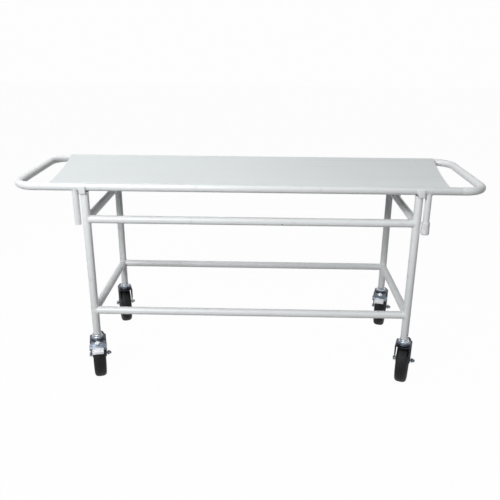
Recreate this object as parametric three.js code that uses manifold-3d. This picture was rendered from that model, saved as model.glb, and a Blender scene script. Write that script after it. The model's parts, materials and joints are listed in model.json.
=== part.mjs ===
// Hospital stretcher trolley: a lift-off stretcher with a sheet-metal top on a tubular trolley
// with four swivel castors. Millimetres, +Z up, standing on z = 0, length along X.
import * as THREE from "three";
import { mergeVertices } from "three/addons/utils/BufferGeometryUtils.js";
import Module from "manifold-3d";

const wasm = await Module();
wasm.setup();

// ---- Overall sizes ----
const overallLength = 1876; // over the two handle bows
const overallWidth = 569; // over the two long rails
const railHeight = 876; // floor to the axis of the stretcher's rails
const legInset = 287; // end of the bow to the leg's axis
const stretcherShift = -11; // the stretcher sits a little off the trolley's middle

// ---- Tube ----
const frameTube = 31.75; // outside diameter of rails, bows, legs and rings
const tubeWall = 1.6;
const tubeSides = 16;
const seatGap = 0.3; // between pieces that touch or are welded

// ---- Stretcher ----
const bowBendRadius = 85; // at the tube's axis
const bowStraight = 14; // straight end of a bow before its butt joint
const bowBendSteps = 6;
const sheetThickness = 1.2;
const handGapFront = 168; // end of the bow to the sheet's front corner
const handGapBack = 86; // end of the bow to the sheet's back corner
const sheetDish = 10; // how far the middle lies below the rails' tops
const sheetWrapAngle = 27; // degrees past the rail's top, towards the outside
const sheetWrapSteps = 3;
const sheetDishSteps = 9; // odd, so that the middle strip is level
const braceTube = 19;
const braceWall = 1.5;
const braceInset = 246.4; // sheet's front corner to the outer braces
const stubTube = 25.4;
const stubWall = 1.5;
const stubDrop = 154; // rail axis down to the stub's end
const shoeHeight = 48;
const shoeCover = 26; // how much of the stub the shoe covers
const shoeWall = 2.7; // at its mouth
const shoeFlare = 1.8; // how much wider its foot is
const shoeEdge = 3;
const shoePassing = 0.8; // shoe to saddle as the stretcher is lifted

// ---- Trolley frame ----
const upperRingDrop = 132; // rail axis down to the upper ring's axis
const lowerRingDrop = 531; // rail axis down to the lower ring's axis
const saddleThickness = 3;
const saddleLength = 28;
const saddleOutset = 4; // saddle middle outboard of the leg axis
const saddleRise = 6; // lips above the rail's axis

// ---- Castors ----
const wheelRadius = 100;
const castorHeadroom = 36; // top of the wheel to the leg's lower end
const wheelSides = 24;
const tyreWidth = 50;
const tyreDepth = 22;
const tyreShoulder = 7;
const tyreCrown = 2; // how far the shoulder's outer point lies below the tread
const beadInset = 2; // the tyre is narrower where it meets the rim
const hubRadius = 17;
const hubStandOut = 6; // hub past the tyre, each side
const hubPlay = 1; // hub to side plate
const webThickness = 9;
const rimThickness = 6;
const rimInset = 3; // rim's edge inside the tyre's side
const axleRadius = 6;
const axleClearance = 0.3;
const castorTrail = 66;
const forkPlate = 4;
const forkFront = 34; // side plates in front of the swivel axis
const forkBack = 46; // side plates behind the swivel axis
const forkBossRadius = 19;
const forkSkirt = 26; // depth of the side plates' straight front edge
const forkHeel = 8; // how far the side plates' back edge slopes out over that depth
const crownThickness = 4;
const crownCorner = 8;
const crownDrop = 26; // leg end down to the crown's top
const brakedCrownFront = 54; // the crown of a braked castor reaches further forward
const hoodDrop = 9;
const hoodInset = 8; // each side of the hood's lip
const hoodCorner = 1;
const raceRadius = 28;
const raceHeight = 9;
const raceEdge = 3; // its rounded edges
const raceSkirt = 2; // upper race narrower than the lower one
const joinLap = 1; // parts of one pressing run this far into each other
const collarStandOut = 3.625; // collar past the leg's outside
const collarHeight = 5;
const stemLength = 50;
const kingPinRadius = 7;
const kingPinHeadRadius = 11;
const kingPinHeadHeight = 7;
const boltHeadRadius = 10;
const boltHeadHeight = 7;
const nutRadius = 10;
const nutHeight = 9;
const boltThreadEnd = 5;
const roundSides = 16;

// ---- Brake pedals ----
const pedalPivotForward = 20; // pivot in front of the swivel axis
const pedalPivotDrop = 48; // leg end down to the pivot
const pedalPinRadius = 4;
const pedalHubRadius = 8;
const pedalArmWidth = 34;
const pedalArmThickness = 7;
const treadWidth = 47;
const treadDepth = 35;
const treadThickness = 6;
const treadCorner = 4;
const armLap = 4; // the arm runs this far under the tread
const treadForward = 72; // tread middle in front of the swivel axis
const treadLift = 2; // tread middle above the pivot
const pinStandOut = 1; // pedal pin past the side plates
const shoeStandOff = 6; // brake shoe to tyre with the brake off
const brakeShoeAngle = 146; // degrees round the wheel, from straight back over the top
const brakeShoeRadius = 4;

// Where each leg stands: name, side along X, side along Y, castor turn in degrees, braked.
const corners = [
  { name: "front_left", alongX: -1, alongY: -1, turn: 15, braked: true, shod: false },
  { name: "front_right", alongX: 1, alongY: -1, turn: -18, braked: false, shod: true },
  { name: "back_left", alongX: -1, alongY: 1, turn: 19, braked: false, shod: true },
  { name: "back_right", alongX: 1, alongY: 1, turn: -16, braked: true, shod: true },
];

// ---- Sizes that follow from the ones above ----
const frameRadius = frameTube / 2;
const railSpacing = overallWidth - frameTube;
const legSpacing = overallLength - 2 * legInset;
const sheetFrontLength = overallLength - 2 * handGapFront;
const sheetBackLength = overallLength - 2 * handGapBack;
const flatShare = Math.cos(Math.PI / tubeSides); // a tube's flats lie nearer its axis than its edges
const loopHalfLength = (overallLength - frameTube) / 2;
const railHalfLength = loopHalfLength - bowBendRadius - bowStraight;
const saddleRadius = frameRadius + seatGap;
const legTop = railHeight - saddleRadius - saddleThickness - seatGap;
const shoeTopRadius = stubTube / 2 + shoeWall;
const shoeFootRadius = shoeTopRadius + shoeFlare;
const stubOutset = saddleOutset + saddleLength / 2 + shoePassing + shoeFootRadius;
const castorHeight = 2 * wheelRadius + castorHeadroom;
const hubLength = tyreWidth + 2 * hubStandOut;
const forkWidth = hubLength + 2 * hubPlay + 2 * forkPlate;
const stemRadius = (frameRadius - tubeWall) * flatShare - seatGap;
const collarRadius = frameRadius + collarStandOut;
const crownTop = castorHeight - crownDrop;
const crownBottom = crownTop - crownThickness;
const axleHeight = wheelRadius;
const tyreBore = wheelRadius - tyreDepth;
const rimRadius = tyreBore - seatGap;
const pedalPivotHeight = castorHeight - pedalPivotDrop;

// ---- Finishes ----
const finishes = {
  powderCoat: { color: 0xeceeee, roughness: 0.38, metalness: 0 },
  sheetCoat: { color: 0xdfe3e4, roughness: 0.45, metalness: 0 },
  ferruleRubber: { color: 0xe2e2e4, roughness: 0.6, metalness: 0 },
  zinc: { color: 0xaeb4bc, roughness: 0.32, metalness: 1 },
  brightZinc: { color: 0xd6dae0, roughness: 0.25, metalness: 1 },
  tyreRubber: { color: 0x232527, roughness: 0.7, metalness: 0 },
  wheelCentre: { color: 0x3a3d42, roughness: 0.5, metalness: 0 },
  pedalPaint: { color: 0xe8eaf0, roughness: 0.3, metalness: 0.4 },
};

// ---- Helpers ----
const alongX = new THREE.Matrix4().makeBasis(
  new THREE.Vector3(0, 1, 0),
  new THREE.Vector3(0, 0, 1),
  new THREE.Vector3(1, 0, 0),
);
const upwards = new THREE.Matrix4().makeRotationX(Math.PI / 2);
const sideways = new THREE.Matrix4().makeRotationZ(-Math.PI / 2);

const radians = (degrees) => THREE.MathUtils.degToRad(degrees);
const moved = (x, y, z) => new THREE.Matrix4().makeTranslation(x, y, z);

// A geometry as a manifold solid, after the given matrices in turn.
function solid(geometry, ...matrices) {
  const bare = geometry.clone();
  bare.deleteAttribute("normal");
  bare.deleteAttribute("uv");
  for (const matrix of matrices) bare.applyMatrix4(matrix);
  const merged = mergeVertices(bare, 1e-4);
  return new wasm.Manifold(
    new wasm.Mesh({
      numProp: 3,
      vertProperties: new Float32Array(merged.attributes.position.array),
      triVerts: new Uint32Array(merged.index.array),
    }),
  );
}

// A manifold solid as a geometry.
function geometryOf(body) {
  const mesh = body.getMesh();
  const geometry = new THREE.BufferGeometry();
  geometry.setAttribute("position", new THREE.BufferAttribute(mesh.vertProperties, 3));
  geometry.setIndex(new THREE.BufferAttribute(mesh.triVerts, 1));
  geometry.computeVertexNormals();
  return geometry;
}

// A named mesh from a manifold solid, with a material of its own.
function piece(name, body, finish) {
  const mesh = new THREE.Mesh(geometryOf(body), new THREE.MeshStandardMaterial(finishes[finish]));
  mesh.name = name;
  return mesh;
}

// A solid of revolution about Z from [radius, height] pairs that run up its outside.
function turned(pairs, sides = roundSides) {
  const points = pairs.map(([radius, height]) => new THREE.Vector2(radius, height));
  return solid(new THREE.LatheGeometry(points, sides, Math.PI / sides), upwards);
}

// A closed ring profile for turned(): an inner and an outer radius between two heights.
const ringProfile = (inner, outer, low, high) => [
  [inner, low],
  [outer, low],
  [outer, high],
  [inner, high],
  [inner, low],
];

// A solid disc profile for turned().
const discProfile = (radius, low, high) => [
  [0, low],
  [radius, low],
  [radius, high],
  [0, high],
];

const quarterTurnY = new THREE.Matrix4().makeRotationY(Math.PI / 2);
const quarterTurnX = new THREE.Matrix4().makeRotationX(-Math.PI / 2);
const matrixRows = (matrix) => Array.from(matrix.elements);

// A hollow or solid tube centred on the origin, along "x", "y" or "z".
function tube(direction, length, radius, wall) {
  const profile = ringProfile(radius - wall, radius, -length / 2, length / 2);
  const upright = turned(profile, tubeSides);
  if (direction === "x") return upright.transform(matrixRows(quarterTurnY));
  if (direction === "y") return upright.transform(matrixRows(quarterTurnX));
  return upright;
}

// A solid cylinder used to cope a tube's end to the round of its neighbour.
function cutter(direction, length, radius) {
  const upright = turned(discProfile(radius, -length / 2, length / 2), tubeSides);
  if (direction === "x") return upright.transform(matrixRows(quarterTurnY));
  if (direction === "y") return upright.transform(matrixRows(quarterTurnX));
  return upright;
}

// A shape drawn as (y, z), given a width along X and centred on x = 0.
function plate(shape, width, curveSegments = 6) {
  const flat = new THREE.ExtrudeGeometry(shape, {
    depth: width,
    bevelEnabled: false,
    curveSegments,
  });
  return solid(flat, moved(0, 0, -width / 2), alongX);
}

// A bar with round ends between two (y, z) points, given a width along X.
function link(fromY, fromZ, toY, toZ, thickness, width) {
  const lean = Math.atan2(toZ - fromZ, toY - fromY);
  const round = thickness / 2;
  const shape = new THREE.Shape();
  shape.absarc(toY, toZ, round, lean - Math.PI / 2, lean + Math.PI / 2, false);
  shape.absarc(fromY, fromZ, round, lean + Math.PI / 2, lean + (Math.PI * 3) / 2, false);
  return plate(shape, width, 4);
}

// A flat plate with round corners from low to high z, drawn as (x, y).
function slab(left, right, front, back, corner, low, high) {
  const shape = new THREE.Shape();
  shape.moveTo(left + corner, front);
  shape.lineTo(right - corner, front);
  shape.absarc(right - corner, front + corner, corner, -Math.PI / 2, 0, false);
  shape.absarc(right - corner, back - corner, corner, 0, Math.PI / 2, false);
  shape.absarc(left + corner, back - corner, corner, Math.PI / 2, Math.PI, false);
  shape.absarc(left + corner, front + corner, corner, Math.PI, Math.PI * 1.5, false);
  const flat = new THREE.ExtrudeGeometry(shape, {
    depth: high - low,
    bevelEnabled: false,
    curveSegments: 3,
  });
  return solid(flat, moved(0, 0, low));
}

// ---- Stretcher ----

// The axis of a handle bow, with its stations spent on the two bends.
class BowPath extends THREE.Curve {
  constructor(side) {
    super();
    this.side = side;
    this.steps = 2 * bowBendSteps + 3;
  }

  // Place and heading after a number of stations, drawn for the right-hand bow.
  station(t) {
    const walked = t * this.steps;
    const bend = bowBendRadius;
    const start = railHalfLength + seatGap;
    const bendX = loopHalfLength - bend;
    const bendY = railSpacing / 2 - bend;
    const firstBendEnd = 1 + bowBendSteps;
    if (walked <= 1) {
      return { x: start + walked * (bendX - start), y: -railSpacing / 2, heading: 0 };
    }
    if (walked <= firstBendEnd) {
      const heading = ((walked - 1) / bowBendSteps) * (Math.PI / 2);
      const x = bendX + bend * Math.sin(heading);
      return { x, y: -bendY - bend * Math.cos(heading), heading };
    }
    if (walked <= firstBendEnd + 1) {
      const share = walked - firstBendEnd;
      return { x: loopHalfLength, y: -bendY + share * 2 * bendY, heading: Math.PI / 2 };
    }
    if (walked <= firstBendEnd + 1 + bowBendSteps) {
      const heading = (1 + (walked - firstBendEnd - 1) / bowBendSteps) * (Math.PI / 2);
      const x = bendX + bend * Math.sin(heading);
      return { x, y: bendY - bend * Math.cos(heading), heading };
    }
    const left = this.steps - walked;
    return { x: start + left * (bendX - start), y: railSpacing / 2, heading: Math.PI };
  }

  getPoint(t, target = new THREE.Vector3()) {
    const { x, y } = this.station(t);
    return target.set(this.side * x, y, 0);
  }

  getPointAt(u, target) {
    return this.getPoint(u, target);
  }

  getTangent(t, target = new THREE.Vector3()) {
    const { heading } = this.station(t);
    return target.set(this.side * Math.cos(heading), Math.sin(heading), 0);
  }

  getTangentAt(u, target) {
    return this.getTangent(u, target);
  }
}

// A circle as a polygon with a flat at its top and bottom.
function polygon(radius, outline) {
  for (let i = 0; i <= tubeSides; i += 1) {
    const angle = ((i + 0.5) / tubeSides) * Math.PI * 2;
    const x = radius * Math.cos(angle);
    const y = radius * Math.sin(angle);
    if (i === 0) outline.moveTo(x, y);
    else outline.lineTo(x, y);
  }
  return outline;
}

function handleBow(name, side) {
  const section = polygon(frameRadius, new THREE.Shape());
  section.holes.push(polygon(frameRadius - tubeWall, new THREE.Path()));
  const path = new BowPath(side);
  const bent = new THREE.ExtrudeGeometry(section, {
    steps: path.steps,
    extrudePath: path,
    bevelEnabled: false,
  });
  return piece(name, solid(bent, moved(0, 0, railHeight)), "powderCoat");
}

function longRail(name, side) {
  const rail = tube("x", 2 * railHalfLength, frameRadius, tubeWall);
  const body = rail.translate([0, (side * railSpacing) / 2, railHeight]);
  return piece(name, body, "powderCoat");
}

// One surface of the sheet across the width: over the front rail, down the dish, over the back.
function sheetLine(lift) {
  const radius = frameRadius + seatGap + lift;
  const points = [];
  for (let i = 0; i <= sheetWrapSteps; i += 1) {
    const angle = radians(sheetWrapAngle) * (1 - i / sheetWrapSteps);
    const y = -railSpacing / 2 - radius * Math.sin(angle);
    points.push(new THREE.Vector2(y, railHeight + radius * Math.cos(angle)));
  }
  for (let i = 1; i < sheetDishSteps; i += 1) {
    const across = (2 * i) / sheetDishSteps - 1;
    const z = railHeight + radius - sheetDish * (1 - across * across);
    points.push(new THREE.Vector2((across * railSpacing) / 2, z));
  }
  for (let i = 0; i <= sheetWrapSteps; i += 1) {
    const angle = radians(sheetWrapAngle) * (i / sheetWrapSteps);
    const y = railSpacing / 2 + radius * Math.sin(angle);
    points.push(new THREE.Vector2(y, railHeight + radius * Math.cos(angle)));
  }
  return points;
}

// The sheet-metal top, its two ends cut on the slant.
function sheetTop() {
  const section = new THREE.Shape([...sheetLine(0), ...sheetLine(sheetThickness).reverse()]);
  const rolled = plate(section, overallLength);
  const edgeY = railSpacing / 2 + frameRadius;
  const plan = new THREE.Shape();
  plan.moveTo(-sheetFrontLength / 2, -edgeY);
  plan.lineTo(sheetFrontLength / 2, -edgeY);
  plan.lineTo(sheetBackLength / 2, edgeY);
  plan.lineTo(-sheetBackLength / 2, edgeY);
  plan.closePath();
  const block = new THREE.ExtrudeGeometry(plan, { depth: 4 * frameTube, bevelEnabled: false });
  const trim = solid(block, moved(0, 0, railHeight - 2 * frameTube));
  return piece("sheet_top", rolled.intersect(trim), "sheetCoat");
}

// A hidden tube across the stretcher that the dished sheet rests on.
function crossBrace(name, x) {
  const radius = braceTube / 2;
  const sheetUnderside = railHeight + frameRadius + seatGap - sheetDish;
  const height = sheetUnderside - seatGap - radius;
  let body = tube("y", railSpacing, radius, braceWall).translate([x, 0, height]);
  for (const side of [-1, 1]) {
    const rail = cutter("x", 4 * braceTube, frameRadius + seatGap);
    body = body.subtract(rail.translate([x, (side * railSpacing) / 2, railHeight]));
  }
  return piece(name, body, "powderCoat");
}

// Where a stub leg stands, measured from the stretcher's middle.
const stubPlace = (corner) => [
  corner.alongX * (legSpacing / 2 + stubOutset) - stretcherShift,
  (corner.alongY * railSpacing) / 2,
];

function stubLeg(corner) {
  const [x, y] = stubPlace(corner);
  const body = tube("z", stubDrop, stubTube / 2, stubWall);
  const standing = body.translate([x, y, railHeight - stubDrop / 2]);
  const rail = cutter("x", 4 * stubTube, frameRadius + seatGap).translate([x, y, railHeight]);
  return piece(`stub_leg_${corner.name}`, standing.subtract(rail), "powderCoat");
}

function stubShoe(corner) {
  const [x, y] = stubPlace(corner);
  const bore = stubTube / 2 + seatGap;
  const floor = shoeHeight - shoeCover;
  const body = turned([
    [0, 0],
    [shoeFootRadius - shoeEdge, 0],
    [shoeFootRadius, shoeEdge],
    [shoeFootRadius, floor],
    [shoeTopRadius, shoeHeight],
    [bore, shoeHeight],
    [bore, floor - seatGap],
    [0, floor - seatGap],
  ]);
  const low = railHeight - stubDrop - floor;
  return piece(`stub_shoe_${corner.name}`, body.translate([x, y, low]), "ferruleRubber");
}

function stretcher() {
  const group = new THREE.Group();
  group.position.x = stretcherShift;
  group.add(longRail("stretcher_rail_front", -1));
  group.add(longRail("stretcher_rail_back", 1));
  group.add(handleBow("handle_bow_left", -1));
  group.add(handleBow("handle_bow_right", 1));
  group.add(sheetTop());
  const braceReach = sheetFrontLength / 2 - braceInset;
  [-braceReach, 0, braceReach].forEach((x, i) => group.add(crossBrace(`cross_brace_${i + 1}`, x)));
  for (const corner of corners) {
    group.add(stubLeg(corner));
    if (corner.shod) group.add(stubShoe(corner));
  }
  return group;
}

// ---- Trolley frame ----

const legPlace = (corner) => [
  (corner.alongX * legSpacing) / 2,
  (corner.alongY * railSpacing) / 2,
];

function leg(corner) {
  const [x, y] = legPlace(corner);
  const body = tube("z", legTop - castorHeight, frameRadius, tubeWall);
  const standing = body.translate([x, y, (legTop + castorHeight) / 2]);
  return piece(`leg_${corner.name}`, standing, "powderCoat");
}

// A cradle on the leg's top, open upwards, that the stretcher's rail drops into.
function saddle(corner) {
  const [x, y] = legPlace(corner);
  const outer = saddleRadius + saddleThickness;
  const shape = new THREE.Shape();
  shape.moveTo(-outer, saddleRise);
  shape.absarc(0, 0, outer, Math.PI, Math.PI * 2, false);
  shape.lineTo(outer, saddleRise);
  shape.lineTo(saddleRadius, saddleRise);
  shape.absarc(0, 0, saddleRadius, Math.PI * 2, Math.PI, true);
  shape.lineTo(-saddleRadius, saddleRise);
  shape.closePath();
  const body = plate(shape, saddleLength, tubeSides / 2);
  const placed = body.translate([x + corner.alongX * saddleOutset, y, railHeight]);
  return piece(`rail_saddle_${corner.name}`, placed, "powderCoat");
}

// A ring tube between two legs, its ends coped to the legs' rounds. The short tubes are also
// coped to the long ones, which meet the same legs from the inner side.
function ringTube(name, direction, side, height) {
  const lengthwise = direction === "x";
  const span = lengthwise ? legSpacing : railSpacing;
  const across = ((lengthwise ? railSpacing : legSpacing) / 2) * side;
  const middle = lengthwise ? [0, across] : [across, 0];
  let body = tube(direction, span, frameRadius, tubeWall).translate([...middle, height]);
  for (const end of [-1, 1]) {
    const legRound = cutter("z", 4 * frameTube, frameRadius + seatGap);
    const place = lengthwise ? [(end * span) / 2, across] : [across, (end * span) / 2];
    body = body.subtract(legRound.translate([...place, height]));
    if (!lengthwise) {
      const longRound = cutter("x", 4 * frameTube, frameRadius + seatGap);
      const inward = across - side * 2 * frameTube;
      body = body.subtract(longRound.translate([inward, (end * span) / 2, height]));
    }
  }
  return piece(name, body, "powderCoat");
}

function trolleyFrame() {
  const group = new THREE.Group();
  for (const corner of corners) {
    group.add(leg(corner));
    group.add(saddle(corner));
  }
  const rings = { upper: railHeight - upperRingDrop, lower: railHeight - lowerRingDrop };
  for (const [ring, height] of Object.entries(rings)) {
    group.add(ringTube(`${ring}_rail_front`, "x", -1, height));
    group.add(ringTube(`${ring}_rail_back`, "x", 1, height));
    group.add(ringTube(`${ring}_rail_left`, "y", -1, height));
    group.add(ringTube(`${ring}_rail_right`, "y", 1, height));
  }
  return group;
}

// ---- Castors: built about the swivel axis, trailing towards +Y ----

// Stem, collar, upper race and king pin, which stay with the leg.
function castorStem(name) {
  const raceTop = castorHeight - seatGap - collarHeight;
  const raceLow = crownTop + raceHeight + seatGap;
  const headTop = crownBottom - seatGap;
  const body = turned([
    [0, headTop - kingPinHeadHeight],
    [kingPinHeadRadius, headTop - kingPinHeadHeight],
    [kingPinHeadRadius, headTop],
    [kingPinRadius, headTop],
    [kingPinRadius, raceLow],
    [raceRadius - raceSkirt, raceLow],
    [raceRadius - raceSkirt, raceTop - raceEdge],
    [raceRadius - raceSkirt - raceEdge, raceTop],
    [collarRadius, raceTop],
    [collarRadius, castorHeight - seatGap],
    [stemRadius, castorHeight - seatGap],
    [stemRadius, castorHeight + stemLength],
    [0, castorHeight + stemLength],
  ]);
  return piece(name, body, "brightZinc");
}

// The direction, from the boss's middle, in which a line from (y, z) touches the boss.
function bossTangent(y, z, side) {
  const offY = y - castorTrail;
  const offZ = z - axleHeight;
  const spread = Math.acos(forkBossRadius / Math.hypot(offY, offZ));
  return Math.atan2(offZ, offY) + side * spread;
}

// One side plate of the fork, drawn as (y, z), with its axle and pedal-pin holes.
function forkSide(braked) {
  const shape = new THREE.Shape();
  const skirtEnd = crownTop - forkSkirt;
  const first = bossTangent(-forkFront, skirtEnd, 1);
  const last = bossTangent(forkBack + forkHeel, skirtEnd, -1) + 2 * Math.PI;
  shape.moveTo(-forkFront, crownTop);
  shape.lineTo(-forkFront, skirtEnd);
  shape.absarc(castorTrail, axleHeight, forkBossRadius, first, last, false);
  shape.lineTo(forkBack + forkHeel, skirtEnd);
  shape.lineTo(forkBack, crownTop);
  shape.closePath();
  const bore = new THREE.Path();
  bore.absarc(castorTrail, axleHeight, axleRadius + axleClearance, 0, Math.PI * 2, true);
  shape.holes.push(bore);
  if (braked) {
    const pinBore = new THREE.Path();
    const radius = pedalPinRadius + axleClearance;
    pinBore.absarc(-pedalPivotForward, pedalPivotHeight, radius, 0, Math.PI * 2, true);
    shape.holes.push(pinBore);
  }
  return plate(shape, forkPlate, 8);
}

// Crown, lower race and two side plates; a braked fork also has a hood over its pedal.
function fork(name, braked) {
  const sideX = (forkWidth - forkPlate) / 2;
  const side = forkSide(braked);
  const front = braked ? brakedCrownFront : forkFront;
  const half = forkWidth / 2;
  const race = turned([
    [0, crownTop - joinLap],
    [raceRadius, crownTop - joinLap],
    [raceRadius, crownTop + raceHeight - raceEdge],
    [raceRadius - raceEdge, crownTop + raceHeight],
    [0, crownTop + raceHeight],
  ]);
  const pinBore = turned(discProfile(kingPinRadius + axleClearance, 0, castorHeight));
  let body = slab(-half, half, -front, forkBack, crownCorner, crownBottom, crownTop);
  body = body.add(side.translate([-sideX, 0, 0])).add(side.translate([sideX, 0, 0]));
  body = body.add(race);
  if (braked) {
    const hoodBack = forkPlate - front;
    const hoodHalf = half - hoodInset;
    const hoodLow = crownBottom - hoodDrop;
    body = body.add(slab(-hoodHalf, hoodHalf, -front, hoodBack, hoodCorner, hoodLow, crownTop));
  }
  return piece(name, body.subtract(pinBore), "zinc");
}

// Axle bolt along X: hexagon head on one side, threaded end on the other.
function axleBolt(name) {
  const half = forkWidth / 2 + seatGap;
  const reach = half + nutHeight + boltThreadEnd;
  const shank = turned(discProfile(axleRadius, -half - boltHeadHeight / 2, reach));
  const head = turned(discProfile(boltHeadRadius, -half - boltHeadHeight, -half), 6);
  const body = shank.add(head).transform(matrixRows(quarterTurnY));
  return piece(name, body.translate([0, castorTrail, axleHeight]), "brightZinc");
}

function axleNut(name) {
  const low = forkWidth / 2 + seatGap;
  const blank = turned(discProfile(nutRadius, low, low + nutHeight), 6);
  const bore = turned(discProfile(axleRadius + axleClearance, 0, low + 2 * nutHeight));
  const body = blank.subtract(bore).transform(matrixRows(quarterTurnY));
  return piece(name, body.translate([0, castorTrail, axleHeight]), "brightZinc");
}

// A solid of revolution about the axle from [radius, x] pairs that run along its outside.
function wheelTurned(pairs) {
  const circumscribed = 1 / Math.cos(Math.PI / wheelSides);
  const points = pairs.map(([radius, x]) => new THREE.Vector2(radius * circumscribed, x));
  const round = new THREE.LatheGeometry(points, wheelSides, Math.PI / wheelSides);
  return solid(round, sideways, moved(0, castorTrail, axleHeight));
}

function wheelCentre(name) {
  const bore = axleRadius + axleClearance;
  const halfHub = hubLength / 2;
  const halfWeb = webThickness / 2;
  const halfRim = tyreWidth / 2 - rimInset;
  const rimInner = rimRadius - rimThickness;
  const body = wheelTurned([
    [bore, -halfHub],
    [hubRadius, -halfHub],
    [hubRadius, -halfWeb],
    [rimInner, -halfWeb],
    [rimInner, -halfRim],
    [rimRadius, -halfRim],
    [rimRadius, halfRim],
    [rimInner, halfRim],
    [rimInner, halfWeb],
    [hubRadius, halfWeb],
    [hubRadius, halfHub],
    [bore, halfHub],
    [bore, -halfHub],
  ]);
  return piece(name, body, "wheelCentre");
}

function tyre(name) {
  const half = tyreWidth / 2;
  const side = [
    [wheelRadius, half - 2 * tyreShoulder],
    [wheelRadius - tyreCrown, half - tyreShoulder],
    [wheelRadius - tyreShoulder, half - tyreCrown / 2],
    [wheelRadius - 2 * tyreShoulder, half],
    [tyreBore, half - beadInset],
  ];
  const otherSide = side.map(([radius, x]) => [radius, -x]).reverse();
  const body = wheelTurned([...otherSide, ...side, otherSide[0]]);
  return piece(name, body, "tyreRubber");
}

// The foot pedal: hub on its pin, arm and tread forward, brake shoe down towards the tyre.
function brakePedal(name) {
  const pivotY = -pedalPivotForward;
  const pivotZ = pedalPivotHeight;
  const treadZ = pivotZ + treadLift;
  const reach = wheelRadius + shoeStandOff + brakeShoeRadius;
  const shoeY = castorTrail + reach * Math.cos(radians(brakeShoeAngle));
  const shoeZ = axleHeight + reach * Math.sin(radians(brakeShoeAngle));
  const treadBack = -treadForward + treadDepth / 2;
  const arm = link(pivotY, pivotZ, treadBack - armLap, treadZ, pedalArmThickness, pedalArmWidth);
  const shoe = link(pivotY, pivotZ, shoeY, shoeZ, 2 * brakeShoeRadius, pedalArmWidth);
  const barrel = turned(discProfile(pedalHubRadius, -pedalArmWidth / 2, pedalArmWidth / 2));
  const hub = barrel.transform(matrixRows(quarterTurnY)).translate([0, pivotY, pivotZ]);
  const low = treadZ - treadThickness / 2;
  const tread = slab(
    -treadWidth / 2,
    treadWidth / 2,
    -treadForward - treadDepth / 2,
    treadBack,
    treadCorner,
    low,
    low + treadThickness,
  );
  const bore = turned(discProfile(pedalPinRadius + axleClearance, -forkWidth, forkWidth));
  const across = bore.transform(matrixRows(quarterTurnY)).translate([0, pivotY, pivotZ]);
  const body = hub.add(arm).add(shoe).add(tread).subtract(across);
  return piece(name, body, "pedalPaint");
}

function pedalPin(name) {
  const half = forkWidth / 2 + pinStandOut;
  const shank = turned(discProfile(pedalPinRadius, -half, half)).transform(matrixRows(quarterTurnY));
  const body = shank.translate([0, -pedalPivotForward, pedalPivotHeight]);
  return piece(name, body, "brightZinc");
}

function castor(corner) {
  const group = new THREE.Group();
  const [x, y] = legPlace(corner);
  group.position.set(x, y, 0);
  group.rotation.z = radians(corner.turn);
  group.add(castorStem(`castor_stem_${corner.name}`));
  group.add(fork(`castor_fork_${corner.name}`, corner.braked));
  group.add(axleBolt(`axle_bolt_${corner.name}`));
  group.add(axleNut(`axle_nut_${corner.name}`));
  group.add(wheelCentre(`wheel_centre_${corner.name}`));
  group.add(tyre(`tyre_${corner.name}`));
  if (corner.braked) {
    group.add(brakePedal(`brake_pedal_${corner.name}`));
    group.add(pedalPin(`pedal_pin_${corner.name}`));
  }
  return group;
}

// ---- The whole trolley, with the origin at the bottom centre of its bounding box ----
const trolley = new THREE.Group();
trolley.add(stretcher());
trolley.add(trolleyFrame());
for (const corner of corners) trolley.add(castor(corner));

const extent = new THREE.Box3().setFromObject(trolley, true);
trolley.position.x = -(extent.min.x + extent.max.x) / 2;
trolley.position.y = -(extent.min.y + extent.max.y) / 2;

export default trolley;
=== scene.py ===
# %% [markdown]
# # A stretcher trolley, surfaced around its frame
# A hospital stretcher lies on a tubular trolley with four swivel castors. The frame that
# is loaded here fixes where every tube, bolt and wheel is. It is right in size, but its
# tubes have sixteen flat sides. Each visible piece is made again, smooth and with its
# small details, in the same place. Loading the frame first means that nothing has to be
# fitted by eye later on.

# %% Load the frame
import json
import math

import bmesh
import bpy
from mathutils import Matrix, Vector


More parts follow.
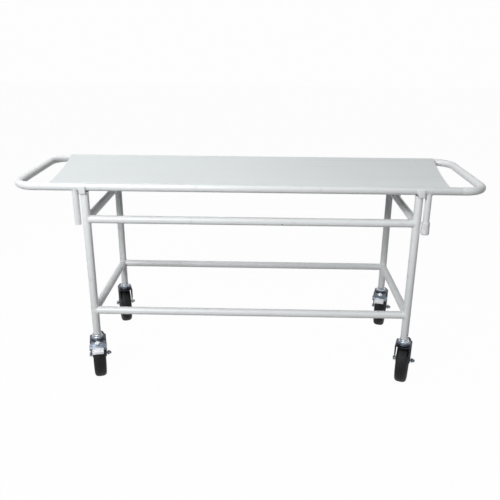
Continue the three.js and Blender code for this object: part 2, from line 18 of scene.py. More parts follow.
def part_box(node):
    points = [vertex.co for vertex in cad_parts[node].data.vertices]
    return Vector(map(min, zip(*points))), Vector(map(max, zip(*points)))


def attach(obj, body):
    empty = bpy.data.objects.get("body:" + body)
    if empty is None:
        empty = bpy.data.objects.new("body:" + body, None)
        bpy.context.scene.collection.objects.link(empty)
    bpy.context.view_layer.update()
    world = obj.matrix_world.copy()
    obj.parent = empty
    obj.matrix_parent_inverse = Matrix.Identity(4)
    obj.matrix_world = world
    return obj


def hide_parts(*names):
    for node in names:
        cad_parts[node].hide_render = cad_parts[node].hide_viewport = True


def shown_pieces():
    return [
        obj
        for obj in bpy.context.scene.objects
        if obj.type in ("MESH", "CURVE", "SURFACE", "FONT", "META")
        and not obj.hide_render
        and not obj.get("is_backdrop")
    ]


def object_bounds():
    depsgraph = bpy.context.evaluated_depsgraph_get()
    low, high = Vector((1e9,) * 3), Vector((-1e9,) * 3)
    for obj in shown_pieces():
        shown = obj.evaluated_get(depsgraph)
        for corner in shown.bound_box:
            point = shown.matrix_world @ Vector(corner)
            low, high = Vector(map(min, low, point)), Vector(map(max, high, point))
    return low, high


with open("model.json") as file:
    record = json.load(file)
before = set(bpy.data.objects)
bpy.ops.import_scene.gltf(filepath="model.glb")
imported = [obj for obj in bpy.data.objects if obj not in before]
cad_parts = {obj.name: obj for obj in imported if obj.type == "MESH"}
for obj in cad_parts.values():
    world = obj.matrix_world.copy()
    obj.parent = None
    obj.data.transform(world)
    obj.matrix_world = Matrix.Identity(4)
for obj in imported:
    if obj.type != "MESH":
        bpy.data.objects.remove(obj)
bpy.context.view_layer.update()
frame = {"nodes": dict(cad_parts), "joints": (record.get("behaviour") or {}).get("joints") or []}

# %% [markdown]
# ## Places
# The frame knows where each leg stands, how high the rails lie and where each castor
# turns. Reading those places from it keeps the surface and the frame together. Only the
# sizes of a section, such as a tube's diameter, are written here, because a box round a
# sixteen-sided tube is a hair smaller than the real one.

# %% Driving sizes, in metres
TUBE = 0.03175 / 2  # radius of rails, bows, legs and rings
TUBE_WALL = 0.0016
STUB = 0.0254 / 2  # radius of the short stub legs
STUB_WALL = 0.0015
BRACE = 0.019 / 2
BRACE_WALL = 0.0015
BOW_BEND = 0.085  # bend radius at the tube's axis
SHEET_THICKNESS = 0.0012
SHEET_WRAP = math.radians(27)
SEAT = 0.0003  # between pieces that touch
ROUND = 48  # segments round a tube
CORNERS = ("front_left", "front_right", "back_left", "back_right")


def middle(node):
    low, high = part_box(node)
    return (low + high) / 2


RAIL_Z = middle("stretcher_rail_front").z
RAIL_Y = {"front": middle("stretcher_rail_front").y, "back": middle("stretcher_rail_back").y}
RING_Z = {"upper": middle("upper_rail_front").z, "lower": middle("lower_rail_front").z}
LEG = {corner: middle(f"leg_{corner}") for corner in CORNERS}
print("rail height", round(RAIL_Z, 4), "rings at", {k: round(v, 4) for k, v in RING_Z.items()})

# %% [markdown]
# ## Shader maths as Python
# A material is a small program, and wiring it node by node hides what it does. A socket
# wrapped in a class can take part in Python's own sums, and each operator adds the Math
# node that it stands for. One more method makes any other node from its type, its
# settings and its sockets. Colours never go through Math, which would turn them grey.


# %% Sockets that add up
class Wire:
    def __init__(self, paint, socket):
        self.paint = paint
        self.socket = socket

    def maths(self, operation, first, second):
        return self.paint.node("ShaderNodeMath", {"operation": operation}, {0: first, 1: second})

    def __add__(self, other):
        return self.maths("ADD", self, other)

    def __radd__(self, other):
        return self.maths("ADD", other, self)

    def __sub__(self, other):
        return self.maths("SUBTRACT", self, other)

    def __rsub__(self, other):
        return self.maths("SUBTRACT", other, self)

    def __mul__(self, other):
        return self.maths("MULTIPLY", self, other)

    def __rmul__(self, other):
        return self.maths("MULTIPLY", other, self)


# %% One paint, one node tree
class Paint:
    def __init__(self, name, colour, roughness, metallic=0.0):
        self.material = bpy.data.materials.new(name)
        self.material.use_nodes = True
        self.tree = self.material.node_tree
        self.shader = self.tree.nodes["Principled BSDF"]
        self.colour = (*colour, 1)
        self.shader.inputs["Base Color"].default_value = self.colour
        self.shader.inputs["Roughness"].default_value = roughness
        self.shader.inputs["Metallic"].default_value = metallic
        self.place = self.node("ShaderNodeTexCoord", {}, {}, "Object")

    def node(self, kind, settings, sockets, out=0):
        made = self.tree.nodes.new(kind)
        for setting, value in settings.items():
            setattr(made, setting, value)
        for socket, value in sockets.items():
            if isinstance(value, Wire):
                self.tree.links.new(value.socket, made.inputs[socket])
            else:
                made.inputs[socket].default_value = value
        return Wire(self, made.outputs[out])

    def noise(self, scale, detail=2.0, where=None):
        sockets = {"Vector": where or self.place, "Scale": scale, "Detail": detail}
        return self.node("ShaderNodeTexNoise", {}, sockets)

    def between(self, value, low, high):
        """0 below low, 1 above high, and a smooth step from one to the other."""
        settings = {"interpolation_type": "SMOOTHSTEP"}
        sockets = {"Value": value, "From Min": low, "From Max": high}
        return self.node("ShaderNodeMapRange", settings, sockets)

    def mix(self, share, first, second):
        sockets = {0: share, 6: first, 7: second}
        return self.node("ShaderNodeMix", {"data_type": "RGBA"}, sockets, 2)

    def stretched(self, x, y, z):
        return self.node("ShaderNodeMapping", {}, {"Vector": self.place, "Scale": (x, y, z)})

    def distance(self, point):
        settings = {"operation": "DISTANCE"}
        return self.node("ShaderNodeVectorMath", settings, {0: self.place, 1: point}, "Value")

    def bump(self, height, distance):
        sockets = {"Height": height, "Distance": distance, "Strength": 1.0}
        self.feed("Normal", self.node("ShaderNodeBump", {}, sockets))

    def feed(self, socket, wire):
        self.tree.links.new(wire.socket, self.shader.inputs[socket])


# %% [markdown]
# ## Powder coat
# The tubes are powder coated: plastic dust baked on as one skin. It is never quite smooth.
# It sets with a fine orange peel, and handling leaves faint grey rubs. A picture could
# carry all that, but it would stretch over the bends, so four sizes of noise on the
# object's own coordinates do it instead. The finest goes to the bump and the broadest to
# the colour. The two between go to the roughness, and the rubs grey the colour too.


# %% The white coat, with or without a chip
def powder_coat(name, colour, rub_colour, chip_at=None):
    paint = Paint(name, colour, 0.34)
    broad = paint.between(paint.noise(5.0, 3.0), 0.35, 0.7)
    rubs = paint.between(paint.noise(38.0, 6.0), 0.56, 0.74)
    tone = paint.mix(broad * 0.5, paint.colour, (*[c * 0.965 for c in colour], 1))
    tone = paint.mix(rubs * 0.3, tone, (*rub_colour, 1))
    peel = paint.noise(620.0, 2.0)
    height = peel
    if chip_at is not None:
        ragged = paint.distance(chip_at) + paint.noise(700.0, 2.0) * 0.002
        chip = 1.0 - paint.between(ragged, 0.0034, 0.0040)
        tone = paint.mix(chip, tone, (0.05, 0.045, 0.04, 1))
        height = peel - chip * 3.0
    paint.feed("Base Color", tone)
    paint.feed("Roughness", 0.3 + rubs * 0.12 + paint.noise(90.0, 2.0) * 0.08)
    paint.bump(height, 0.00012)
    return paint.material


WHITE = (0.80, 0.815, 0.82)
RUB = (0.56, 0.56, 0.55)
CHIP_ALONG = 0.124  # right of the rail's middle
chip_place = middle("upper_rail_front") + Vector((CHIP_ALONG, -TUBE * 0.86, -TUBE * 0.5))
COAT = powder_coat("white powder coat", WHITE, RUB)
CHIPPED_COAT = powder_coat("white powder coat, chipped", WHITE, RUB, chip_place)
print("coats", COAT.name, "and", CHIPPED_COAT.name)

# %% [markdown]
# ## The sheet top's coat
# The top is one large flat of painted steel. A large flat shows what a tube hides: a broad
# drift in its tone, faint wipe marks along its length from years of cleaning, and a coarser
# peel. The wipe marks are noise that is stretched along X before it is read.


# %% The pale grey sheet
def sheet_coat(name, colour):
    paint = Paint(name, colour, 0.4)
    drift = paint.between(paint.noise(1.6, 2.0), 0.3, 0.75)
    wipes = paint.between(paint.noise(30.0, 4.0, paint.stretched(0.06, 1.0, 1.0)), 0.52, 0.78)
    spots = paint.between(paint.noise(75.0, 5.0), 0.66, 0.76)
    tone = paint.mix(drift * 0.6, paint.colour, (*[c * 0.95 for c in colour], 1))
    tone = paint.mix(wipes * 0.07, tone, (0.55, 0.56, 0.57, 1))
    tone = paint.mix(spots * 0.1, tone, (0.42, 0.41, 0.39, 1))
    paint.feed("Base Color", tone)
    paint.feed("Roughness", 0.36 + wipes * 0.14 + spots * 0.1)
    paint.bump(paint.noise(420.0, 2.0) + wipes * 0.4, 0.00014)
    return paint.material


SHEET = sheet_coat("sheet coat", (0.70, 0.74, 0.75))
print("sheet coat", SHEET.name)

# %% [markdown]
# ## Zinc plate
# Castor housings are pressed steel with a zinc coat. Zinc is a dull mirror with a blue cast:
# it clouds in patches where the bath was uneven, and it goes grey where grease and dust
# sit. One recipe does for all of it. The forks are zinc too, but they stand in shadow, so
# their colour is painted nearly black as painted shade. The covers are blue-grey, the bolts
# are a little lighter and the polished rings are bright, so each is given its own two tones
# and its own gloss.


# %% Four finishes from one recipe
def zinc(name, colour, cloud_colour, cloud_share, roughness):
    paint = Paint(name, colour, roughness, 1.0)
    cloud = paint.between(paint.noise(60.0, 4.0), 0.4, 0.68)
    grime = paint.between(paint.noise(130.0, 5.0), 0.58, 0.72)
    tone = paint.mix(cloud * cloud_share, paint.colour, (*cloud_colour, 1))
    tone = paint.mix(grime * 0.35, tone, (0.16, 0.16, 0.165, 1))
    paint.feed("Base Color", tone)
    paint.feed("Roughness", roughness + cloud * 0.1 + grime * 0.22)
    paint.feed("Metallic", 1.0 - grime * 0.3)
    paint.bump(paint.noise(900.0, 2.0), 0.00006)
    return paint.material


ZINC = zinc("zinc plate", (0.30, 0.34, 0.40), (0.17, 0.20, 0.24), 0.8, 0.30)
COVER_ZINC = zinc("cover zinc", (0.20, 0.23, 0.27), (0.11, 0.13, 0.155), 0.8, 0.42)
# Painted shade: the fork's zinc is drawn nearly black because the forks stand in shadow.
FORK_ZINC_PAINTED_SHADE = zinc("fork zinc, dark", (0.040, 0.044, 0.055), (0.024, 0.027, 0.034), 0.8, 0.40)
BRIGHT_ZINC = zinc("bright zinc", (0.74, 0.78, 0.82), (0.52, 0.56, 0.61), 0.5, 0.20)
print("metals", [metal.name for metal in (ZINC, COVER_ZINC, FORK_ZINC_PAINTED_SHADE, BRIGHT_ZINC)])

# %% [markdown]
# ## Rubber and moulded plastic
# The tyres are black rubber that has rolled over many floors: the tread is grey with dust,
# the shoulders stay blacker, and the skin is covered in tiny pits. The distance from the
# axle tells the tread from the side, but the axle is in a different place on each castor,
# so each tyre's paint is given its own axle point.


# %% Tyre, wheel centre, ferrule and pedal
def tyre_rubber(name, axle, radius):
    paint = Paint(name, (0.0085, 0.009, 0.0098), 0.6)
    paint.shader.inputs["Specular IOR Level"].default_value = 0.22
    out = paint.distance(axle)
    tread = paint.between(out, radius * 0.95, radius)
    dust = paint.between(paint.noise(55.0, 5.0), 0.4, 0.75)
    specks = paint.between(paint.noise(420.0, 3.0), 0.62, 0.7)
    tone = paint.mix(dust * tread * 0.5, paint.colour, (0.03, 0.0295, 0.028, 1))
    tone = paint.mix(specks * 0.25, tone, (0.06, 0.058, 0.054, 1))
    paint.feed("Base Color", tone)
    paint.feed("Roughness", 0.55 + dust * 0.25)
    paint.bump(paint.noise(520.0, 4.0), 0.0002)
    return paint.material


def moulded(name, colour, dirt_colour, roughness, grain):
    paint = Paint(name, colour, roughness)
    dirt = paint.between(paint.noise(48.0, 5.0), 0.45, 0.72)
    tone = paint.mix(dirt * 0.35, paint.colour, (*dirt_colour, 1))
    paint.feed("Base Color", tone)
    paint.feed("Roughness", roughness + dirt * 0.15)
    paint.bump(paint.noise(grain, 3.0), 0.0001)
    return paint.material


CENTRE = moulded("moulded wheel centre", (0.05, 0.053, 0.058), (0.11, 0.11, 0.105), 0.42, 700.0)
FERRULE = moulded("ferrule rubber", (0.82, 0.82, 0.83), (0.50, 0.49, 0.47), 0.55, 500.0)
PEDAL = moulded("plated pedal", (0.90, 0.91, 0.94), (0.62, 0.63, 0.65), 0.28, 400.0)
print("moulded", CENTRE.name, FERRULE.name, PEDAL.name)

# %% [markdown]
# ## Small tools for mesh work
# Nearly every piece here is round, so most are made with two moves: push a ring of edges
# along, or spin it about a line. A ring is a circle for a rod, or two circles, the outside
# and the bore, for a tube. Bridging the two circles at each end closes the wall, which
# gives one watertight skin instead of a shell with an open edge.


# %% Rings, pushes and bends
def verts_in(geometry):
    return [item for item in geometry if isinstance(item, bmesh.types.BMVert)]


def edges_of(mesh, verts):
    chosen = set(verts)
    return [edge for edge in mesh.edges if edge.verts[0] in chosen and edge.verts[1] in chosen]


def circles(mesh, place, heading, *radii, segments=ROUND):
    turn = Vector(heading).to_track_quat("Z", "Y").to_matrix().to_4x4()
    where = Matrix.Translation(Vector(place)) @ turn
    made = []
    for radius in radii:
        ring = bmesh.ops.create_circle(mesh, segments=segments, radius=radius, matrix=where)
        made += ring["verts"]
    return made


def push(mesh, verts, by):
    geometry = bmesh.ops.extrude_edge_only(mesh, edges=edges_of(mesh, verts))["geom"]
    moved = verts_in(geometry)
    bmesh.ops.translate(mesh, verts=moved, vec=by)
    return moved


def bend(mesh, verts, centre, angle, steps):
    geometry = [*verts, *edges_of(mesh, verts)]
    made = bmesh.ops.spin(mesh, geom=geometry, cent=centre, axis=(0, 0, 1), angle=angle, steps=steps)
    return verts_in(made["geom_last"])


def close_wall(mesh, verts):
    bmesh.ops.bridge_loops(mesh, edges=edges_of(mesh, verts))


# %% From a mesh to a finished piece
def finished(name, mesh, material, body, nodes=(), sharp=32):
    bmesh.ops.remove_doubles(mesh, verts=mesh.verts, dist=1e-6)
    bmesh.ops.recalc_face_normals(mesh, faces=mesh.faces)
    data = bpy.data.meshes.new(name)
    mesh.to_mesh(data)
    mesh.free()
    data.shade_smooth()
    data.set_sharp_from_angle(angle=math.radians(sharp))
    data.materials.append(material)
    thing = bpy.data.objects.new(name, data)
    bpy.context.scene.collection.objects.link(thing)
    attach(thing, body)
    if nodes:
        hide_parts(*nodes)
    return thing


# %% [markdown]
# ## Turned parts
# Races, pins, hubs, tyres and weld beads are all turned: a profile that goes once round a
# line. The profile is a short chain of points, and the spin closes on itself. Sharp
# corners would look like cardboard, so the chain's corners are rounded with a bevel before
# it is spun.


# %% A profile spun about a line
def chain(mesh, points):
    verts = [mesh.verts.new(point) for point in points]
    for start, end in zip(verts, verts[1:]):
        mesh.edges.new((start, end))
    return verts


def soften(mesh, verts, radius):
    if radius > 0:
        bmesh.ops.bevel(
            mesh, geom=verts, offset=radius, offset_type="OFFSET", affect="VERTICES",
            segments=3, profile=0.5, material=-1, clamp_overlap=True,
        )


def turned(mesh, pairs, place, axis, rounding=0.0, steps=ROUND):
    """Spins a chain of (radius, distance along the axis) pairs once round the axis."""
    part = bmesh.new()
    verts = chain(part, [Vector((radius, 0, along)) for radius, along in pairs])
    inner = verts[1:-1]
    soften(part, inner, rounding)
    geometry = [*part.verts, *part.edges]
    bmesh.ops.spin(
        part, geom=geometry, cent=(0, 0, 0), axis=(0, 0, 1),
        angle=math.tau, steps=steps, use_merge=True,
    )
    bmesh.ops.remove_doubles(part, verts=part.verts, dist=1e-6)
    turn = Vector(axis).to_track_quat("Z", "Y").to_matrix().to_4x4()
    bmesh.ops.transform(part, matrix=Matrix.Translation(Vector(place)) @ turn, verts=part.verts)
    join(mesh, part)


def join(mesh, part, matrix=None):
    """Adds a small mesh to a larger one, and frees the small one."""
    if matrix is not None:
        bmesh.ops.transform(part, matrix=matrix, verts=part.verts)
    bmesh.ops.recalc_face_normals(part, faces=part.faces)
    carrier = bpy.data.meshes.new("carrier")
    part.to_mesh(carrier)
    part.free()
    mesh.from_mesh(carrier)
    bpy.data.meshes.remove(carrier)


# %% [markdown]
# ## The stretcher's loop
# Two straight rails and two bent bows make one closed loop. They were bought as tube, bent
# and butted end to end, and the joint still shows as a fine groove. So each of the four is
# a piece of its own, and its end stands a hair short of its neighbour's. The ends are
# bevelled a little, as a cut tube is, which makes the groove catch the light.


# %% Straight tubes with open ends
CHAMFER = 0.0003  # off the rim of a cut tube


def straight_tube(place, heading, length, radius, wall):
    mesh = bmesh.new()
    start = circles(mesh, Vector(place) - Vector(heading) * length / 2, heading, radius, radius - wall)
    end = push(mesh, start, Vector(heading) * length)
    rims = []
    for ring in (start, end):
        close_wall(mesh, ring)
        rims += [edge for edge in edges_of(mesh, ring) if not edge.is_wire]
    outer = [edge for edge in rims if len(edge.link_faces) == 2 and edge.calc_face_angle(0) > 1]
    bmesh.ops.bevel(
        mesh, geom=outer, offset=CHAMFER, offset_type="OFFSET", affect="EDGES",
        segments=2, profile=0.5, material=-1, clamp_overlap=True,
    )
    return mesh


for side in ("front", "back"):
    low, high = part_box(f"stretcher_rail_{side}")
    place = Vector(((low.x + high.x) / 2, RAIL_Y[side], RAIL_Z))
    rail = straight_tube(place, (1, 0, 0), high.x - low.x, TUBE, TUBE_WALL)
    node = f"stretcher_rail_{side}"
    finished(f"rail_{side}", rail, COAT, "stretcher", [node])
print("rails", round(high.x - low.x, 3), "m long")


# %% The two handle bows
BEND_STEPS = 20


def handle_bow(side):
    """Starts at the front joint and goes out, across and back, with two spun bends."""
    hand = -1 if side == "left" else 1
    low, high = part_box(f"handle_bow_{side}")
    joint_x = low.x if hand > 0 else high.x
    tip_x = (high.x - TUBE) if hand > 0 else (low.x + TUBE)
    bend_x = tip_x - hand * BOW_BEND
    mesh = bmesh.new()
    start = circles(mesh, (joint_x, RAIL_Y["front"], RAIL_Z), (1, 0, 0), TUBE, TUBE - TUBE_WALL)
    ring = push(mesh, start, (bend_x - joint_x, 0, 0))
    near = (bend_x, RAIL_Y["front"] + BOW_BEND, RAIL_Z)
    far = (bend_x, RAIL_Y["back"] - BOW_BEND, RAIL_Z)
    ring = bend(mesh, ring, near, hand * math.pi / 2, BEND_STEPS)
    ring = push(mesh, ring, (0, far[1] - near[1], 0))
    ring = bend(mesh, ring, far, hand * math.pi / 2, BEND_STEPS)
    end = push(mesh, ring, (joint_x - bend_x, 0, 0))
    close_wall(mesh, start)
    close_wall(mesh, end)
    finished(f"bow_{side}", mesh, COAT, "stretcher", [f"handle_bow_{side}"])
    return tip_x


print("bows reach", [round(handle_bow(side), 3) for side in ("left", "right")])

# %% [markdown]
# ## The sheet top
# The top is one sheet of steel, rolled over the two rails and dished between them, and its
# two ends are cut on the slant. It starts as a grid that is as fine across as the roll
# needs. Each point then slides to its place on the section, and the same sum gives every
# point along the length. The grid gets its thickness last. A real sheet this size is never
# dead flat, so it carries a ripple of a few tenths of a millimetre between its braces.

# %% A grid rolled, dished and cut on the slant
SHEET_RADIUS = TUBE + SEAT + SHEET_THICKNESS  # to the sheet's upper face, from a rail's axis
SHEET_DISH = 0.010
GRID_ALONG, GRID_ACROSS = 120, 60
RIPPLE = 0.0003


def sheet_ends():
    """Half-lengths of the top at its front and back edges, from the frame's own mesh."""
    spots = [v.co for v in frame["nodes"]["sheet_top"].data.vertices]
    middle_y = (RAIL_Y["front"] + RAIL_Y["back"]) / 2
    front = [spot.x for spot in spots if spot.y < RAIL_Y["front"]]
    back = [spot.x for spot in spots if spot.y > RAIL_Y["back"]]
    return (min(front), max(front)), (min(back), max(back)), middle_y


def section(share, half):
    """Across the sheet: its (y, z) at a share from -1, the front edge, to 1, the back edge."""
    wrap = SHEET_RADIUS * SHEET_WRAP
    along = share * (half + wrap)
    if abs(along) <= half:
        return along, SHEET_RADIUS - SHEET_DISH * (1 - (along / half) ** 2)
    angle = (abs(along) - half) / SHEET_RADIUS
    y = math.copysign(half + SHEET_RADIUS * math.sin(angle), along)
    return y, SHEET_RADIUS * math.cos(angle)


(front_start, front_end), (back_start, back_end), sheet_middle = sheet_ends()
half_width = (RAIL_Y["back"] - RAIL_Y["front"]) / 2
sheet = bmesh.new()
bmesh.ops.create_grid(sheet, x_segments=GRID_ALONG, y_segments=GRID_ACROSS, size=1.0)
for vert in sheet.verts:
    y, z = section(vert.co.y, half_width)
    slant = (y / (half_width + TUBE) + 1) / 2
    start = front_start + (back_start - front_start) * slant
    end = front_end + (back_end - front_end) * slant
    x = start + (end - start) * (vert.co.x + 1) / 2
    inside = max(0.0, 1 - (y / half_width) ** 2)
    wave = math.sin(x * 9.0 + y * 5.0) + 0.6 * math.sin(x * 17.0 - y * 9.0 + 1.3)
    vert.co = (x, sheet_middle + y, RAIL_Z + z + RIPPLE * inside * wave)
bmesh.ops.recalc_face_normals(sheet, faces=sheet.faces)
if sum(face.normal.z for face in sheet.faces) < 0:
    bmesh.ops.reverse_faces(sheet, faces=sheet.faces)
bmesh.ops.solidify(sheet, geom=sheet.faces[:], thickness=SHEET_THICKNESS)
top = finished("sheet_top_skin", sheet, SHEET, "stretcher", ["sheet_top"])
print("sheet top", [round(v, 4) for v in top.dimensions])

# %% [markdown]
# ## Coped tubes
# A tube that is welded to another is coped first: its end is cut to the round of its
# neighbour, like a fish's mouth. A boolean could cut it, but the cut is a plain sum. A
# point at a distance off the leg's middle meets the leg where a circle says it does, so
# each point of the end ring slides along the tube by that much. The two short tubes of a
# ring also meet the long ones at each corner, so their inner halves use whichever round
# comes first.


# %% How far a round stands out at a distance off its middle
def stand_out(off, radius=TUBE):
    return math.sqrt(max(0.0, radius * radius - off * off))


def ring_tube(name, level, side):
    """One tube of a ring. Long tubes lie along X and short ones along Y."""
    long_way = side in ("front", "back")
    height = RING_Z[level]
    if long_way:
        ends = (LEG[f"{side}_left"], LEG[f"{side}_right"])
    else:
        ends = (LEG[f"front_{side}"], LEG[f"back_{side}"])
    heading = Vector((1, 0, 0)) if long_way else Vector((0, 1, 0))
    mesh = bmesh.new()
    first = Vector((ends[0].x, ends[0].y, height))
    last = Vector((ends[1].x, ends[1].y, height))
    start = circles(mesh, first, heading, TUBE, TUBE - TUBE_WALL)
    end = push(mesh, start, last - first)
    for ring, place, way in ((start, first, 1), (end, last, -1)):
        for vert in ring:
            off = vert.co - place
            reach = stand_out(off.y if long_way else off.x)
            inward = off.x * (-place.x) > 0
            if not long_way and inward:
                reach = max(reach, stand_out(off.z))
            vert.co += heading * way * (reach + SEAT)
        close_wall(mesh, ring)
    material = CHIPPED_COAT if name == "upper_rail_front" else COAT
    return finished(f"{name}_tube", mesh, material, "trolley", [name])


made = []
for level in ("upper", "lower"):
    for side in ("front", "back", "left", "right"):
        made.append(ring_tube(f"{level}_rail_{side}", level, side))
print("ring tubes", len(made), "long one", round(made[0].dimensions.x, 3), "m")

# %% Legs, stub legs and hidden braces
def leg_tube(corner):
    node = f"leg_{corner}"
    low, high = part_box(node)
    mesh = straight_tube(LEG[corner], (0, 0, 1), high.z - low.z, TUBE, TUBE_WALL)
    return finished(f"leg_tube_{corner}", mesh, COAT, "trolley", [node])


def stub_leg(corner):
    """Its top is coped to the rail above it."""
    node = f"stub_leg_{corner}"
    low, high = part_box(node)
    place = (low + high) / 2
    mesh = bmesh.new()
    start = circles(mesh, (place.x, place.y, low.z), (0, 0, 1), STUB, STUB - STUB_WALL)
    end = push(mesh, start, (0, 0, RAIL_Z - low.z))
    for vert in end:
        vert.co.z -= stand_out(vert.co.y - place.y) + SEAT
    close_wall(mesh, start)
    close_wall(mesh, end)
    return finished(f"stub_{corner}", mesh, COAT, "stretcher", [node])


def brace(number):
    node = f"cross_brace_{number}"
    low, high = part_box(node)
    place = (low + high) / 2
    mesh = bmesh.new()
    height = high.z - BRACE
    near = (place.x, RAIL_Y["front"], height)
    start = circles(mesh, near, (0, 1, 0), BRACE, BRACE - BRACE_WALL)
    end = push(mesh, start, (0, RAIL_Y["back"] - RAIL_Y["front"], 0))
    for ring, way in ((start, 1), (end, -1)):
        for vert in ring:
            vert.co.y += way * (stand_out(vert.co.z - RAIL_Z) + SEAT)
        close_wall(mesh, ring)
    return finished(f"brace_{number}", mesh, COAT, "stretcher", [node])


made = []
for corner in CORNERS:
    made += [leg_tube(corner), stub_leg(corner)]
made += [brace(number) for number in (1, 2, 3)]
print("legs, stub legs and braces", len(made))

# %% [markdown]
# ## Weld beads
# A welded joint has a bead round it, laid down in small overlapping steps, and paint
# softens it but doesn't hide it. The bead is a small circle spun round the tube. Then the
# same sum that coped the tube bends the bead onto the joint, and a ripple along its way
# gives it the look of stacked coins. All beads of one body make one piece.

# %% One bead
BEAD = 0.0021
BEAD_RIPPLE = 0.00035
BEAD_STEPS = 120
COINS = 22  # ripples once round a tube


def bead(mesh, place, heading, radius, reach_of):
    """A bead round a tube that heads away from place, moved along it by reach_of(offset)."""
    part = bmesh.new()
    heading = Vector(heading)
    aside = heading.orthogonal().normalized()
    centre = Vector(place) + aside * radius
    ring = circles(part, centre, heading.cross(aside), BEAD, segments=8)
    bmesh.ops.spin(
        part, geom=[*ring, *edges_of(part, ring)], cent=place, axis=heading,
        angle=math.tau, steps=BEAD_STEPS, use_merge=True,
    )
    bmesh.ops.remove_doubles(part, verts=part.verts, dist=1e-7)
    third = heading.cross(aside)
    for vert in part.verts:
        off = vert.co - Vector(place)
        angle = math.atan2(off.dot(third), off.dot(aside))
        spoke = aside * math.cos(angle) + third * math.sin(angle)
        core = Vector(place) + spoke * radius
        swell = 1 + BEAD_RIPPLE / BEAD * math.sin(angle * COINS)
        vert.co = core + (vert.co - core) * swell + heading * reach_of(spoke * radius)
    join(mesh, part)


trolley_beads = bmesh.new()
for corner in CORNERS:
    leg_at = LEG[corner]
    for height in RING_Z.values():
        spot = Vector((leg_at.x, leg_at.y, height))
        inward_x = Vector((-math.copysign(1, leg_at.x), 0, 0))
        bead(trolley_beads, spot, inward_x, TUBE, lambda off: stand_out(off.y) + SEAT)
        front = corner.startswith("front")
        inward_y = Vector((0, 1 if front else -1, 0))
        bead(trolley_beads, spot, inward_y, TUBE, lambda off: stand_out(off.x) + SEAT)
    top_of_leg = Vector((leg_at.x, leg_at.y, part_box(f"leg_{corner}")[1].z))
    bead(trolley_beads, top_of_leg, (0, 0, 1), TUBE, lambda off: -0.0005 - abs(off.y) * 0.1)
made = [finished("trolley_weld_beads", trolley_beads, COAT, "trolley", sharp=80)]

stretcher_beads = bmesh.new()
for corner in CORNERS:
    low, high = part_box(f"stub_leg_{corner}")
    spot = Vector(((low.x + high.x) / 2, (low.y + high.y) / 2, RAIL_Z))
    bead(stretcher_beads, spot, (0, 0, -1), STUB, lambda off: stand_out(off.y) + SEAT)
made += [finished("stretcher_weld_beads", stretcher_beads, COAT, "stretcher", sharp=80)]
print("bead faces", [len(piece.data.polygons) for piece in made])

# %% [markdown]
# ## Saddles
# Each leg ends in a saddle, an open cradle of bent strip that the stretcher's rail drops
# into, so that two people can lift the stretcher off. It is bent round the rail, so it is
# modelled as it is bent: a line of edges spun half a turn, its two lips pushed up, and
# then given the strip's thickness. A bevel takes the edge off, as paint does. A small guard
# plate is welded to its outer side. Its top is level with the lip, and it reaches down
# beside the leg's end.

# %% Four cradles
SADDLE_THICKNESS = 0.003
SADDLE_RISE = 0.006
SADDLE_EDGE = 0.0008
GUARD = (0.025, 0.0035, 0.031)  # the plate welded to the outer side of each saddle
GUARD_EDGE = 0.0012
GUARD_SINK = 0.001  # how far its weld sinks it into the saddle


def saddle(corner):
    node = f"rail_saddle_{corner}"
    low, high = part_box(node)
    y = (low.y + high.y) / 2
    radius = TUBE + SEAT
    mesh = bmesh.new()
    lip = chain(mesh, [(low.x, y - radius, RAIL_Z), (high.x, y - radius, RAIL_Z)])
    geometry = [*lip, *edges_of(mesh, lip)]
    made = bmesh.ops.spin(
        mesh, geom=geometry, cent=(0, y, RAIL_Z), axis=(1, 0, 0), angle=math.pi, steps=24
    )
    push(mesh, lip, (0, 0, SADDLE_RISE))
    push(mesh, verts_in(made["geom_last"]), (0, 0, SADDLE_RISE))
    bmesh.ops.remove_doubles(mesh, verts=mesh.verts, dist=1e-6)
    bmesh.ops.recalc_face_normals(mesh, faces=mesh.faces)
    lowest = min(mesh.faces, key=lambda face: face.calc_center_median().z)
    if lowest.normal.z < 0:
        bmesh.ops.reverse_faces(mesh, faces=mesh.faces)
    bmesh.ops.solidify(mesh, geom=mesh.faces[:], thickness=SADDLE_THICKNESS)
    bmesh.ops.recalc_face_normals(mesh, faces=mesh.faces)
    rims = [edge for edge in mesh.edges if edge.is_manifold and edge.calc_face_angle(0) > 1]
    bmesh.ops.bevel(
        mesh, geom=rims, offset=SADDLE_EDGE, offset_type="OFFSET", affect="EDGES",
        segments=2, profile=0.5, material=-1, clamp_overlap=True,
    )
    out = -1 if corner.startswith("front") else 1
    guard = bmesh.new()
    bmesh.ops.create_cube(guard, size=1.0)
    bmesh.ops.scale(guard, verts=guard.verts, vec=GUARD)
    bmesh.ops.bevel(
        guard, geom=guard.edges[:], offset=GUARD_EDGE, offset_type="OFFSET", affect="EDGES",
        segments=3, profile=0.5, material=-1, clamp_overlap=True,
    )
    gap = radius + SADDLE_THICKNESS - GUARD_SINK + GUARD[1] / 2
    place = ((low.x + high.x) / 2, y + out * gap, RAIL_Z + SADDLE_RISE - GUARD[2] / 2)
    join(mesh, guard, Matrix.Translation(place))
    return finished(f"saddle_{corner}", mesh, COAT, "trolley", [node])


made = [saddle(corner) for corner in CORNERS]
print("saddle", [round(v, 4) for v in made[0].dimensions])

# %% [markdown]
# ## Ferrules
# A stub leg wears a moulded rubber ferrule, so that the stretcher can be put down on the
# floor without a scratch. One of the four has been lost, which is why the frame has three.
# Each is turned, with a thin collar at its mouth and a foot that flares.

